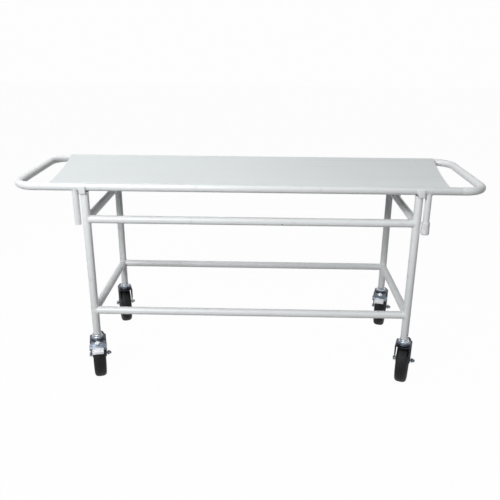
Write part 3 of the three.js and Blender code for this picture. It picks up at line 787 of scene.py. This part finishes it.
# %% Three ferrules
for corner in CORNERS:
    node = f"stub_shoe_{corner}"
    if node not in frame["nodes"]:
        continue
    low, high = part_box(node)
    foot = (high.x - low.x) / 2
    height = high.z - low.z
    collar = STUB + 0.0034
    profile = [
        (0, 0.0015), (foot * 0.6, 0.0015), (foot * 0.66, 0), (foot * 0.86, 0), (foot, 0.004),
        (foot * 0.985, height * 0.4), (collar, height * 0.56), (collar * 0.98, height * 0.9),
        (collar * 1.03, height * 0.92), (collar * 1.03, height), (STUB + SEAT, height),
        (STUB + SEAT, height * 0.46), (0, height * 0.46),
    ]
    shoe = bmesh.new()
    turned(shoe, profile, ((low.x + high.x) / 2, (low.y + high.y) / 2, low.z), (0, 0, 1), 0.0009)
    finished(f"ferrule_{corner}", shoe, FERRULE, "stretcher", [node])
print("ferrules", sum(f"stub_shoe_{corner}" in frame["nodes"] for corner in CORNERS))

# %% [markdown]
# ## Castors
# Each castor is made once in its own small frame: the swivel axis is Z, the wheel trails
# towards +Y and the axle lies along X. A matrix then stands it under its leg, turned the
# way it was left. The joints of the frame say where the swivel and the axle are and how
# far each castor is turned, so the matrix comes from them.

# %% Where each castor stands, and its sizes
joint = {j["name"]: j for j in frame["joints"]}
AXLE_HEIGHT = joint["wheel_spin_front_left"]["pos_m"][2]
WHEEL = AXLE_HEIGHT  # the wheel stands on the floor
LEG_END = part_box("leg_front_left")[0].z
TYRE_WIDTH = 0.050
TYRE_BORE = 0.078
FORK_WIDTH = 0.072
FORK_PLATE = 0.004
FORK_FRONT, FORK_BACK = 0.034, 0.046
FORK_BOSS = 0.019
CROWN_ROUND = 0.036  # radius of the crown's front edge in plan
FORK_SKIRT = 0.026  # depth of the fork's straight front edge
CROWN_TOP = LEG_END - 0.026
RACE = 0.028
HUB = 0.017


def castor_matrix(corner):
    swivel = Vector(joint[f"swivel_{corner}"]["pos_m"])
    axis = joint[f"wheel_spin_{corner}"]["axis"]
    turn = math.atan2(axis[1], axis[0])
    return Matrix.Translation((swivel.x, swivel.y, 0)) @ Matrix.Rotation(turn, 4, "Z")


def trail_of(corner):
    swivel = Vector(joint[f"swivel_{corner}"]["pos_m"]).xy
    return (Vector(joint[f"wheel_spin_{corner}"]["pos_m"]).xy - swivel).length


TRAIL = trail_of("front_left")
BRAKED = [corner for corner in CORNERS if f"brake_press_{corner}" in joint]
print("trail", round(TRAIL, 4), "wheel radius", WHEEL, "braked", BRAKED)


# %% [markdown]
# The upper half of the swivel stays with the leg. It is turned steel: a collar under the
# tube, a cone that widens downwards, and a thin skirt over the lower race. Two polished
# rings stand proud of it and catch the light, so they are a piece of their own in a
# brighter metal. Between the skirt and the lower race a hair's gap is left open.

# %% Stem and upper race
STEM = 0.0137
STEM_REACH = 0.05  # how far the stem goes up into the leg
KING_PIN, PIN_HEAD = 0.007, 0.011
COLLAR = 0.0165
RACE_FLOOR = CROWN_TOP + 0.0093
RACE_RINGS = ((0.0176, LEG_END - 0.0040, 0.0018), (0.0192, LEG_END - 0.0118, 0.0022))


def stem(corner, matrix):
    mesh = bmesh.new()
    profile = [
        (0, CROWN_TOP - 0.0113), (PIN_HEAD, CROWN_TOP - 0.0113), (PIN_HEAD, CROWN_TOP - 0.0043),
        (KING_PIN, CROWN_TOP - 0.0043), (KING_PIN, RACE_FLOOR), (RACE, RACE_FLOOR),
        (RACE, RACE_FLOOR + 0.002), (0.0215, RACE_FLOOR + 0.0035), (0.0195, LEG_END - 0.0118),
        (0.0176, LEG_END - 0.0080), (0.0168, LEG_END - 0.006), (COLLAR, LEG_END - SEAT),
        (STEM, LEG_END - SEAT), (STEM, LEG_END + STEM_REACH), (0, LEG_END + STEM_REACH),
    ]
    turned(mesh, profile, (0, 0, 0), (0, 0, 1), 0.0007)
    bmesh.ops.transform(mesh, matrix=matrix, verts=mesh.verts)
    node = f"castor_stem_{corner}"
    finished(f"race_{corner}", mesh, COVER_ZINC, "trolley", [node])
    rings = bmesh.new()
    for radius, height, thick in RACE_RINGS:
        loop = circles(rings, (radius, 0, height), (0, 1, 0), thick, segments=12)
        bmesh.ops.spin(
            rings, geom=[*loop, *edges_of(rings, loop)], cent=(0, 0, 0), axis=(0, 0, 1),
            angle=math.tau, steps=ROUND, use_merge=True,
        )
    bmesh.ops.transform(rings, matrix=matrix, verts=rings.verts)
    finished(f"race_rings_{corner}", rings, BRIGHT_ZINC, "trolley", sharp=80)


# %% [markdown]
# The fork is one strip of steel, pressed into a U and trimmed to a taper. So it starts as
# a U-shaped line across the castor, with a true bend at each shoulder, and is pushed
# along Y into a channel. Planes then trim it: one that leans at the back of the crown, a
# fan round the axle that starts and ends along the legs' slanted edges, and a few that
# round the crown's front. Cutting a channel keeps both legs alike, which drawing two
# separate plates wouldn't promise.

# %% The pressed fork
SHOULDER = 0.007  # radius of the bend between crown and leg
SHOULDER_STEPS = 6
TRIM_SPARE = 0.002  # what the planes cut away beyond the axle's boss
BACK_FLARE = 0.008
FAN_STEPS = 14
CROWN_FACETS, FACET_TURN = 4, 14  # planes each side of the crown's front, degrees apart


def trim(mesh, place, normal):
    geometry = [*mesh.verts, *mesh.edges, *mesh.faces]
    bmesh.ops.bisect_plane(
        mesh, geom=geometry, dist=1e-7, plane_co=place, plane_no=normal, clear_outer=True
    )


def tangent(start, boss, radius, side):
    """The way out from a circle's centre to where a line from start touches it, in (y, z)."""
    away = Vector(start) - Vector(boss)
    return math.atan2(away.y, away.x) + side * math.acos(radius / away.length)


def channel():
    half = (FORK_WIDTH - FORK_PLATE) / 2
    top = CROWN_TOP - FORK_PLATE / 2
    points = [(-half, -FORK_FRONT, AXLE_HEIGHT - FORK_BOSS - TRIM_SPARE)]
    for i in range(SHOULDER_STEPS + 1):
        angle = math.pi - math.pi / 2 * i / SHOULDER_STEPS
        x = -half + SHOULDER + SHOULDER * math.cos(angle)
        points.append((x, -FORK_FRONT, top - SHOULDER + SHOULDER * math.sin(angle)))
    points += [(-x, y, z) for x, y, z in reversed(points)]
    mesh = bmesh.new()
    line = chain(mesh, points)
    push(mesh, line, (0, TRAIL + FORK_BOSS + TRIM_SPARE + FORK_FRONT, 0))
    return mesh


def fork_shell():
    mesh = channel()
    boss = (TRAIL, AXLE_HEIGHT)
    trim(mesh, (0, FORK_BACK, CROWN_TOP), (0, 1, -0.35))
    front_angle = tangent((-FORK_FRONT, CROWN_TOP - FORK_SKIRT), boss, FORK_BOSS, 1)
    back_angle = tangent((FORK_BACK + BACK_FLARE, CROWN_TOP - FORK_SKIRT), boss, FORK_BOSS, -1)
    fan = (back_angle - front_angle) % math.tau
    for i in range(FAN_STEPS + 1):
        angle = front_angle + fan * i / FAN_STEPS
        normal = Vector((0, math.cos(angle), math.sin(angle)))
        place = Vector((0, *boss)) + normal * FORK_BOSS
        trim(mesh, place, normal)
    for step in range(-CROWN_FACETS, CROWN_FACETS + 1):
        angle = math.radians(FACET_TURN * step)
        normal = Vector((math.sin(angle), -math.cos(angle), 0))
        trim(mesh, normal * CROWN_ROUND, normal)
    return mesh


def thicken(mesh, thickness, edge):
    bmesh.ops.remove_doubles(mesh, verts=mesh.verts, dist=1e-6)
    bmesh.ops.recalc_face_normals(mesh, faces=mesh.faces)
    highest = max(mesh.faces, key=lambda face: face.calc_center_median().z)
    if highest.normal.z < 0:
        bmesh.ops.reverse_faces(mesh, faces=mesh.faces)
    for vert in mesh.verts:
        vert.normal_update()
    bmesh.ops.solidify(mesh, geom=mesh.faces[:], thickness=thickness)
    bmesh.ops.recalc_face_normals(mesh, faces=mesh.faces)
    rims = [e for e in mesh.edges if e.is_manifold and e.calc_face_angle(0) > 1]
    bmesh.ops.bevel(
        mesh, geom=rims, offset=edge, offset_type="OFFSET", affect="EDGES",
        segments=2, profile=0.5, material=-1, clamp_overlap=True,
    )


def fork(corner, matrix):
    mesh = fork_shell()
    thicken(mesh, FORK_PLATE, 0.0008)
    race = [
        (0, CROWN_TOP - 0.001), (RACE + 0.001, CROWN_TOP - 0.001), (RACE + 0.0012, CROWN_TOP + 0.0025),
        (RACE - 0.001, CROWN_TOP + 0.006), (RACE - 0.004, CROWN_TOP + 0.009), (0, CROWN_TOP + 0.009),
    ]
    turned(mesh, race, (0, 0, 0), (0, 0, 1), 0.0008)
    for side in (-1, 1):
        inner = side * (FORK_WIDTH / 2 - 0.0005)
        washer = [(0, 0), (0.0125, 0), (0.0125, 0.0013), (0, 0.0013)]
        turned(mesh, washer, (inner, TRAIL, AXLE_HEIGHT), (side, 0, 0), 0.0003)
    bmesh.ops.transform(mesh, matrix=matrix, verts=mesh.verts)
    node = f"castor_fork_{corner}"
    # The fork's finish is painted shade: zinc drawn nearly black for a fork in shadow.
    return finished(f"fork_{corner}", mesh, FORK_ZINC_PAINTED_SHADE, f"castor_{corner}", [node])


# %% [markdown]
# A braked castor has a wider cover plate over its crown. It flares towards the toe end and
# turns down into a lip, and it holds the pedal's adjusting screw: a bright dome on a
# washer. The plate is a line across the castor that is pushed forward in steps. It grows
# wider with each step until the lip, where the steps turn down instead.

# %% The brake's cover plate and screw
HOOD_FRONT = 0.054
HOOD_BACK_HALF, HOOD_FRONT_HALF = 0.027, 0.0345
HOOD_LIP = 0.00315
HOOD_START, HOOD_FLAT = -0.018, 0.014
HOOD_DROOP = 0.0008  # the plate falls by this much more at each step
HOOD_STEPS, LIP_STEPS = 6, 4
HOOD_THICKNESS = 0.0022


def hood(corner, matrix):
    mesh = bmesh.new()
    top = CROWN_TOP + 0.0018
    line = chain(mesh, [(-HOOD_BACK_HALF, HOOD_START, top), (HOOD_BACK_HALF, HOOD_START, top)])
    line = push(mesh, line, (0, -HOOD_FLAT, 0))
    grow = 1 + (HOOD_FRONT_HALF / HOOD_BACK_HALF - 1) / HOOD_STEPS
    for step in range(HOOD_STEPS):
        line = push(mesh, line, (0, -(HOOD_FRONT - 0.036) / HOOD_STEPS, -HOOD_DROOP * step))
        bmesh.ops.scale(mesh, verts=line, vec=(grow, 1, 1))
    for step in range(LIP_STEPS):
        angle = math.pi / 2 * (step + 1) / LIP_STEPS
        fall = 0.0035 * math.sin(angle) + HOOD_DROOP
        line = push(mesh, line, (0, -0.0035 * math.cos(angle), -fall))
    push(mesh, line, (0, 0.0006, -HOOD_LIP))
    thicken(mesh, HOOD_THICKNESS, 0.0005)
    screw = (0.0, -HOOD_FRONT + 0.013, top - 0.004)
    bmesh.ops.transform(mesh, matrix=matrix, verts=mesh.verts)
    finished(f"brake_cover_{corner}", mesh, COVER_ZINC, f"castor_{corner}")
    dome = [
        (0, 0.0115), (0.0035, 0.0111), (0.0068, 0.0094), (0.0088, 0.006), (0.009, 0.0042),
        (0, 0.0042),
    ]
    washer = [(0, 0.0036), (0.0116, 0.0036), (0.0116, 0.0022), (0, 0.0022)]
    bright = bmesh.new()
    turned(bright, dome, screw, (0, -0.25, 1), 0.0002)
    turned(bright, washer, screw, (0, -0.25, 1), 0.0004)
    bmesh.ops.transform(bright, matrix=matrix, verts=bright.verts)
    finished(f"brake_screw_{corner}", bright, BRIGHT_ZINC, f"castor_{corner}")


# %% [markdown]
# The axle is a bolt with a six-sided head, and a nut on its far end. A hexagon comes from
# a cone with six sides and equal ends, its corners taken off by a bevel. The thread past
# the nut is a stack of small ridges: at this size nobody can tell it from a helix.

# %% Axle bolt and nut
BOLT = 0.006
HEAD, HEAD_HEIGHT = 0.010, 0.007
NUT_HEIGHT = 0.009
THREAD_END = 0.005
THREAD_PITCH = 0.00125


def hexagon(mesh, radius, height, place, axis):
    part = bmesh.new()
    bmesh.ops.create_cone(part, cap_ends=True, segments=6, radius1=radius, radius2=radius, depth=height)
    edges = [edge for edge in part.edges if abs(edge.verts[0].co.z - edge.verts[1].co.z) < 1e-6]
    bmesh.ops.bevel(
        part, geom=edges, offset=0.0011, offset_type="OFFSET", affect="EDGES",
        segments=2, profile=0.5, material=-1, clamp_overlap=True,
    )
    turn = Vector(axis).to_track_quat("Z", "Y").to_matrix().to_4x4()
    join(mesh, part, Matrix.Translation(Vector(place)) @ turn)


def axle(corner, matrix):
    half = FORK_WIDTH / 2 + SEAT
    mesh = bmesh.new()
    hexagon(mesh, HEAD, HEAD_HEIGHT, (-half - HEAD_HEIGHT / 2, TRAIL, AXLE_HEIGHT), (1, 0, 0))
    end = half + NUT_HEIGHT + THREAD_END
    profile = [(0, -half), (BOLT, -half), (BOLT, half + NUT_HEIGHT)]
    for ridge in range(int(THREAD_END / THREAD_PITCH)):
        base = half + NUT_HEIGHT + ridge * THREAD_PITCH
        profile += [(BOLT - 0.0007, base + THREAD_PITCH / 2), (BOLT, base + THREAD_PITCH)]
    profile += [(BOLT - 0.0012, end + 0.0004), (0, end + 0.0004)]
    turned(mesh, profile, (0, TRAIL, AXLE_HEIGHT), (1, 0, 0), 0, 24)
    bmesh.ops.transform(mesh, matrix=matrix, verts=mesh.verts)
    body = f"castor_{corner}"
    finished(f"bolt_{corner}", mesh, ZINC, body, [f"axle_bolt_{corner}"])
    nut = bmesh.new()
    hexagon(nut, HEAD, NUT_HEIGHT, (half + NUT_HEIGHT / 2, TRAIL, AXLE_HEIGHT), (1, 0, 0))
    bmesh.ops.transform(nut, matrix=matrix, verts=nut.verts)
    finished(f"nut_{corner}", nut, ZINC, body, [f"axle_nut_{corner}"])


# %% [markdown]
# The wheel centre is a moulding: a hub, a thin web that ribs stiffen on both sides, and a
# rim under the tyre. The turned shape comes first, and the ribs are thin boxes set
# round the hub. The tyre has a flat tread with two grooves and rounded shoulders, all in
# the one profile that is spun.

# %% Wheel centre and tyre
RIBS = 8
RIB_WIDTH, RIB_THICKNESS = 0.026, 0.0042
RIB_TAPER = 0.8  # width at the rim as a share of the width at the hub
RIM = TYRE_BORE - SEAT


def wheel_centre(corner, matrix):
    half_rim = TYRE_WIDTH / 2 - 0.003
    mesh = bmesh.new()
    outside = [
        (BOLT + SEAT, 0.031), (HUB - 0.003, 0.031), (HUB, 0.028), (HUB + 0.001, 0.0075),
        (HUB + 0.006, 0.0052), (RIM - 0.012, 0.0045), (RIM - 0.007, 0.008),
        (RIM - 0.005, half_rim), (RIM - 0.001, half_rim), (RIM, half_rim - 0.001),
    ]
    mirrored = [(radius, -along) for radius, along in reversed(outside)]
    profile = [*outside, *mirrored, outside[0]]
    turned(mesh, profile, (0, TRAIL, AXLE_HEIGHT), (1, 0, 0), 0, 72)
    for rib in range(RIBS):
        part = bmesh.new()
        bmesh.ops.create_cube(part, size=1.0)
        inner, outer = HUB - 0.001, RIM - 0.006
        bmesh.ops.scale(part, verts=part.verts, vec=(RIB_WIDTH, RIB_THICKNESS, outer - inner))
        for vert in part.verts:
            if vert.co.z > 0:
                vert.co.x *= RIB_TAPER
        bmesh.ops.bevel(
            part, geom=part.edges[:], offset=0.0012, offset_type="OFFSET", affect="EDGES",
            segments=2, profile=0.5, material=-1, clamp_overlap=True,
        )
        lift = Matrix.Translation((0, 0, (inner + outer) / 2))
        spoke = Matrix.Rotation(math.tau * rib / RIBS, 4, "X") @ lift
        join(mesh, part, Matrix.Translation((0, TRAIL, AXLE_HEIGHT)) @ spoke)
    bmesh.ops.transform(mesh, matrix=matrix, verts=mesh.verts)
    node = f"wheel_centre_{corner}"
    finished(f"centre_{corner}", mesh, CENTRE, f"wheel_{corner}", [node])


GROOVE, GROOVE_AT = 0.0016, 0.0048  # depth, and distance from the tread's middle
TYRE_SHOULDER = 0.016
TYRE_STEPS = 10


def half_tread():
    """From the middle of the tread out to the bead, as (radius, distance from the middle)."""
    half = TYRE_WIDTH / 2
    points = [(WHEEL, 0.0)]
    land = WHEEL - GROOVE_AT ** 2 * 4
    points += [(land, GROOVE_AT - 0.0008), (WHEEL - GROOVE, GROOVE_AT - 0.0004)]
    points += [(WHEEL - GROOVE, GROOVE_AT + 0.0004), (land, GROOVE_AT + 0.0008)]
    for i in range(TYRE_STEPS + 1):
        angle = math.pi / 2 * i / TYRE_STEPS
        out = WHEEL - 0.0006 - TYRE_SHOULDER * (1 - math.cos(angle)) * 0.85
        points.append((out, half - TYRE_SHOULDER + TYRE_SHOULDER * math.sin(angle)))
    points += [(TYRE_BORE + 0.005, half - 0.0002), (TYRE_BORE + 0.002, half - 0.0015)]
    points += [(TYRE_BORE, half - 0.0022)]
    return points


def tyre(corner, matrix):
    side = half_tread()
    profile = [*[(r, -x) for r, x in reversed(side)], *side[1:], (TYRE_BORE, -TYRE_WIDTH / 2 + 0.0022)]
    mesh = bmesh.new()
    turned(mesh, profile, (0, TRAIL, AXLE_HEIGHT), (1, 0, 0), 0, 96)
    bmesh.ops.transform(mesh, matrix=matrix, verts=mesh.verts)
    axle_at = matrix @ Vector((0, TRAIL, AXLE_HEIGHT))
    rubber = tyre_rubber(f"tyre rubber {corner}", axle_at, WHEEL)
    node = f"tyre_{corner}"
    finished(f"tyre_skin_{corner}", mesh, rubber, f"wheel_{corner}", [node], sharp=50)


# %% [markdown]
# The brake pedal is pressed steel too: a tread for the toe with ribs across it, an arm
# back to its pin, and a shoe that swings down towards the tyre. The arm and the shoe are
# bars with round ends, each an outline pushed across the castor's width, and the tread is
# made of bevelled boxes.

# %% Pedal and pin
PEDAL_PIVOT_Y, PEDAL_PIVOT_Z = -0.020, joint["brake_press_front_left"]["pos_m"][2]
PEDAL_WIDTH = 0.034
TREAD = (0.047, 0.035, 0.006)
TREAD_FORWARD = 0.072
TREAD_RISE = 0.002  # of the tread above the pivot
TREAD_RIBS, RIB_PITCH = 5, 0.0062
ARM, SHOE, KNUCKLE = 0.007, 0.008, 0.016  # thickness of each bar
SHOE_ANGLE = math.radians(146)
SHOE_GAP = 0.006  # from the tyre to the shoe


def bar(mesh, start, end, thickness, width):
    """A bar with round ends between two (y, z) points, as wide as given along X."""
    part = bmesh.new()
    start, end = Vector(start), Vector(end)
    lean = math.atan2(end.y - start.y, end.x - start.x)
    outline = []
    for centre, first in ((end, lean - math.pi / 2), (start, lean + math.pi / 2)):
        for i in range(9):
            angle = first + math.pi * i / 8
            y = centre.x + thickness / 2 * math.cos(angle)
            outline.append((-width / 2, y, centre.y + thickness / 2 * math.sin(angle)))
    face = part.faces.new([part.verts.new(point) for point in outline])
    made = bmesh.ops.extrude_face_region(part, geom=[face])["geom"]
    bmesh.ops.translate(part, verts=verts_in(made), vec=(width, 0, 0))
    rims = [e for e in part.edges if abs(e.verts[0].co.x - e.verts[1].co.x) < 1e-6]
    bmesh.ops.bevel(
        part, geom=rims, offset=0.0007, offset_type="OFFSET", affect="EDGES",
        segments=2, profile=0.5, material=-1, clamp_overlap=True,
    )
    join(mesh, part)


def box(mesh, size, place, edge):
    part = bmesh.new()
    bmesh.ops.create_cube(part, size=1.0)
    bmesh.ops.scale(part, verts=part.verts, vec=size)
    bmesh.ops.bevel(
        part, geom=part.edges[:], offset=edge, offset_type="OFFSET", affect="EDGES",
        segments=3, profile=0.5, material=-1, clamp_overlap=True,
    )
    join(mesh, part, Matrix.Translation(Vector(place)))


def pedal(corner, matrix):
    pivot = (PEDAL_PIVOT_Y, PEDAL_PIVOT_Z)
    tread_z = PEDAL_PIVOT_Z + TREAD_RISE
    width, depth, thickness = TREAD
    reach = WHEEL + SHOE_GAP + SHOE / 2
    shoe = (TRAIL + reach * math.cos(SHOE_ANGLE), AXLE_HEIGHT + reach * math.sin(SHOE_ANGLE))
    mesh = bmesh.new()
    bar(mesh, pivot, (-TREAD_FORWARD + depth / 2 - 0.004, tread_z), ARM, PEDAL_WIDTH)
    bar(mesh, pivot, shoe, SHOE, PEDAL_WIDTH)
    bar(mesh, pivot, (pivot[0] - 0.0001, pivot[1]), KNUCKLE, PEDAL_WIDTH)
    box(mesh, (width, depth, thickness), (0, -TREAD_FORWARD, tread_z), 0.0018)
    for rib in range(TREAD_RIBS):
        y = -TREAD_FORWARD + (rib - TREAD_RIBS // 2) * RIB_PITCH
        box(mesh, (width - 0.008, 0.0026, 0.0022), (0, y, tread_z + thickness / 2), 0.0008)
    lip = (0, -TREAD_FORWARD - depth / 2 + 0.0022, tread_z - thickness / 2 - 0.0015)
    box(mesh, (width - 0.002, 0.0036, 0.008), lip, 0.0014)
    bmesh.ops.transform(mesh, matrix=matrix, verts=mesh.verts)
    node = f"brake_pedal_{corner}"
    finished(f"pedal_{corner}", mesh, PEDAL, f"pedal_{corner}", [node])
    pin = bmesh.new()
    half = FORK_WIDTH / 2 + 0.001
    profile = [(0, -half - 0.0008), (0.0052, -half - 0.0004), (0.0054, -half), (0.004, -half)]
    profile += [(0.004, half), (0.0054, half), (0.0052, half + 0.0004), (0, half + 0.0008)]
    turned(pin, profile, (0, PEDAL_PIVOT_Y, PEDAL_PIVOT_Z), (1, 0, 0), 0, 24)
    bmesh.ops.transform(pin, matrix=matrix, verts=pin.verts)
    node = f"pedal_pin_{corner}"
    finished(f"pin_{corner}", pin, BRIGHT_ZINC, f"castor_{corner}", [node])


# %% Four castors in place
for corner in CORNERS:
    stand = castor_matrix(corner)
    stem(corner, stand)
    fork(corner, stand)
    axle(corner, stand)
    wheel_centre(corner, stand)
    tyre(corner, stand)
    if corner in BRAKED:
        hood(corner, stand)
        pedal(corner, stand)
shown = [piece.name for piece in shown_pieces()]
print("shown pieces", len(shown), "frame nodes still shown", [n for n in shown if n in frame["nodes"]])

# %% [markdown]
# ## Floor and light
# The trolley stands on a plain white floor that runs up into a white background. The key
# lamp is high in front, so the top is bright and what is under it falls into shade, which
# is how the tubes get their depth. The floor shows white to the camera but gives back
# only part of that light, so the shade under the top stays, and the trolley's own soft
# shadow still shows on it.

# %% White to the eye, modest in the light it gives
FLOOR_HALF = 14.0
FLOOR_SHADE, FLOOR_GLOW = 0.28, 1.04
GLOW_SHARE = 0.94  # how much of what the camera sees of the floor is its glow


def seen_directly(tree):
    """1 for camera, glossy and transmission rays and 0 for the rest, as a socket."""
    path = tree.nodes.new("ShaderNodeLightPath")
    most = None
    for name in ("Is Camera Ray", "Is Glossy Ray", "Is Transmission Ray"):
        if most is None:
            most = path.outputs[name]
            continue
        larger = tree.nodes.new("ShaderNodeMath")
        larger.operation = "MAXIMUM"
        tree.links.new(most, larger.inputs[0])
        tree.links.new(path.outputs[name], larger.inputs[1])
        most = larger.outputs[0]
    return most


def floor_material():
    material = bpy.data.materials.new("white studio floor")
    material.use_nodes = True
    tree = material.node_tree
    tree.nodes.clear()
    shade = tree.nodes.new("ShaderNodeBsdfDiffuse")
    shade.inputs["Color"].default_value = (FLOOR_SHADE, FLOOR_SHADE, FLOOR_SHADE, 1)
    glow = tree.nodes.new("ShaderNodeEmission")
    glow.inputs["Strength"].default_value = FLOOR_GLOW
    share = tree.nodes.new("ShaderNodeMath")
    share.operation = "MULTIPLY"
    share.inputs[1].default_value = GLOW_SHARE
    tree.links.new(seen_directly(tree), share.inputs[0])
    mix = tree.nodes.new("ShaderNodeMixShader")
    out = tree.nodes.new("ShaderNodeOutputMaterial")
    tree.links.new(share.outputs[0], mix.inputs[0])
    tree.links.new(shade.outputs[0], mix.inputs[1])
    tree.links.new(glow.outputs[0], mix.inputs[2])
    tree.links.new(mix.outputs[0], out.inputs["Surface"])
    return material


floor_mesh = bmesh.new()
bmesh.ops.create_grid(floor_mesh, x_segments=1, y_segments=1, size=FLOOR_HALF)
bmesh.ops.translate(floor_mesh, verts=floor_mesh.verts, vec=(0, 0, -0.0004))
floor_data = bpy.data.meshes.new("studio_floor")
floor_mesh.to_mesh(floor_data)
floor_mesh.free()
floor_data.materials.append(floor_material())
floor = bpy.data.objects.new("studio_floor", floor_data)
bpy.context.scene.collection.objects.link(floor)
floor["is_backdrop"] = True
print("floor", round(floor.dimensions.x, 1), "m across")

# %% A background that looks white and lights little
AMBIENT, BACKGROUND = 0.05, 0.985
world = bpy.data.worlds.new("studio")
bpy.context.scene.world = world
world.use_nodes = True
tree = world.node_tree
tree.nodes.clear()
white = tree.nodes.new("ShaderNodeBackground")
strength = tree.nodes.new("ShaderNodeMapRange")
strength.inputs["To Min"].default_value = AMBIENT
strength.inputs["To Max"].default_value = BACKGROUND
world_out = tree.nodes.new("ShaderNodeOutputWorld")
tree.links.new(seen_directly(tree), strength.inputs["Value"])
tree.links.new(strength.outputs["Result"], white.inputs["Strength"])
tree.links.new(white.outputs[0], world_out.inputs["Surface"])
white.inputs["Color"].default_value = (1, 1, 1, 1)
print("background", BACKGROUND, "to the camera,", AMBIENT, "to the trolley")


# %% Lamps
def soft_lamp(name, place, aim, size, power, tint=(1, 1, 1)):
    light = bpy.data.lights.new(name, "AREA")
    light.shape = "RECTANGLE"
    light.size, light.size_y = size
    light.energy = power
    light.color = tint
    lamp = bpy.data.objects.new(name, light)
    lamp.location = place
    lamp.rotation_euler = (Vector(aim) - Vector(place)).to_track_quat("-Z", "Y").to_euler()
    bpy.context.scene.collection.objects.link(lamp)


soft_lamp("key", (-1.6, -3.1, 2.8), (0.1, 0, 0.6), (1.5, 1.5), 128, (0.985, 0.997, 1.0))
soft_lamp("overhead", (-1.0, 0.5, 3.0), (0, 0, 0.6), (2.6, 2.0), 32)
soft_lamp("fill", (1.9, -3.0, 2.7), (0.2, -0.2, 0.6), (1.4, 1.2), 16)
bpy.context.scene.view_settings.view_transform = "Standard"

# %% [markdown]
# ## Camera
# The camera stands in front of the trolley, a little above the top and tilted down by
# twenty degrees. Three turns give its direction: the tilt below the horizontal, the yaw
# about the vertical and a slight roll about its own line of sight.

# %% The camera
camera_data = bpy.data.cameras.new("camera")
camera_data.lens = 43.38
camera_data.sensor_width = 36.0
camera_data.clip_end = 60
camera = bpy.data.objects.new("camera", camera_data)
tilt, yaw, roll = 0.355, -0.022, 0.007
facing = Matrix.Rotation(-yaw, 4, "Z") @ Matrix.Rotation(math.pi / 2 - tilt, 4, "X")
camera.matrix_world = (
    Matrix.Translation((0.0588, -2.5737, 1.4647)) @ facing @ Matrix.Rotation(roll, 4, "Z")
)
bpy.context.scene.collection.objects.link(camera)
bpy.context.scene.camera = camera
print("camera at", [round(v, 3) for v in camera.location])

# %% [markdown]
# ## The size, and the end
# The box round every shown piece is found last.

# %% The box round the shown pieces
low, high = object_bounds()
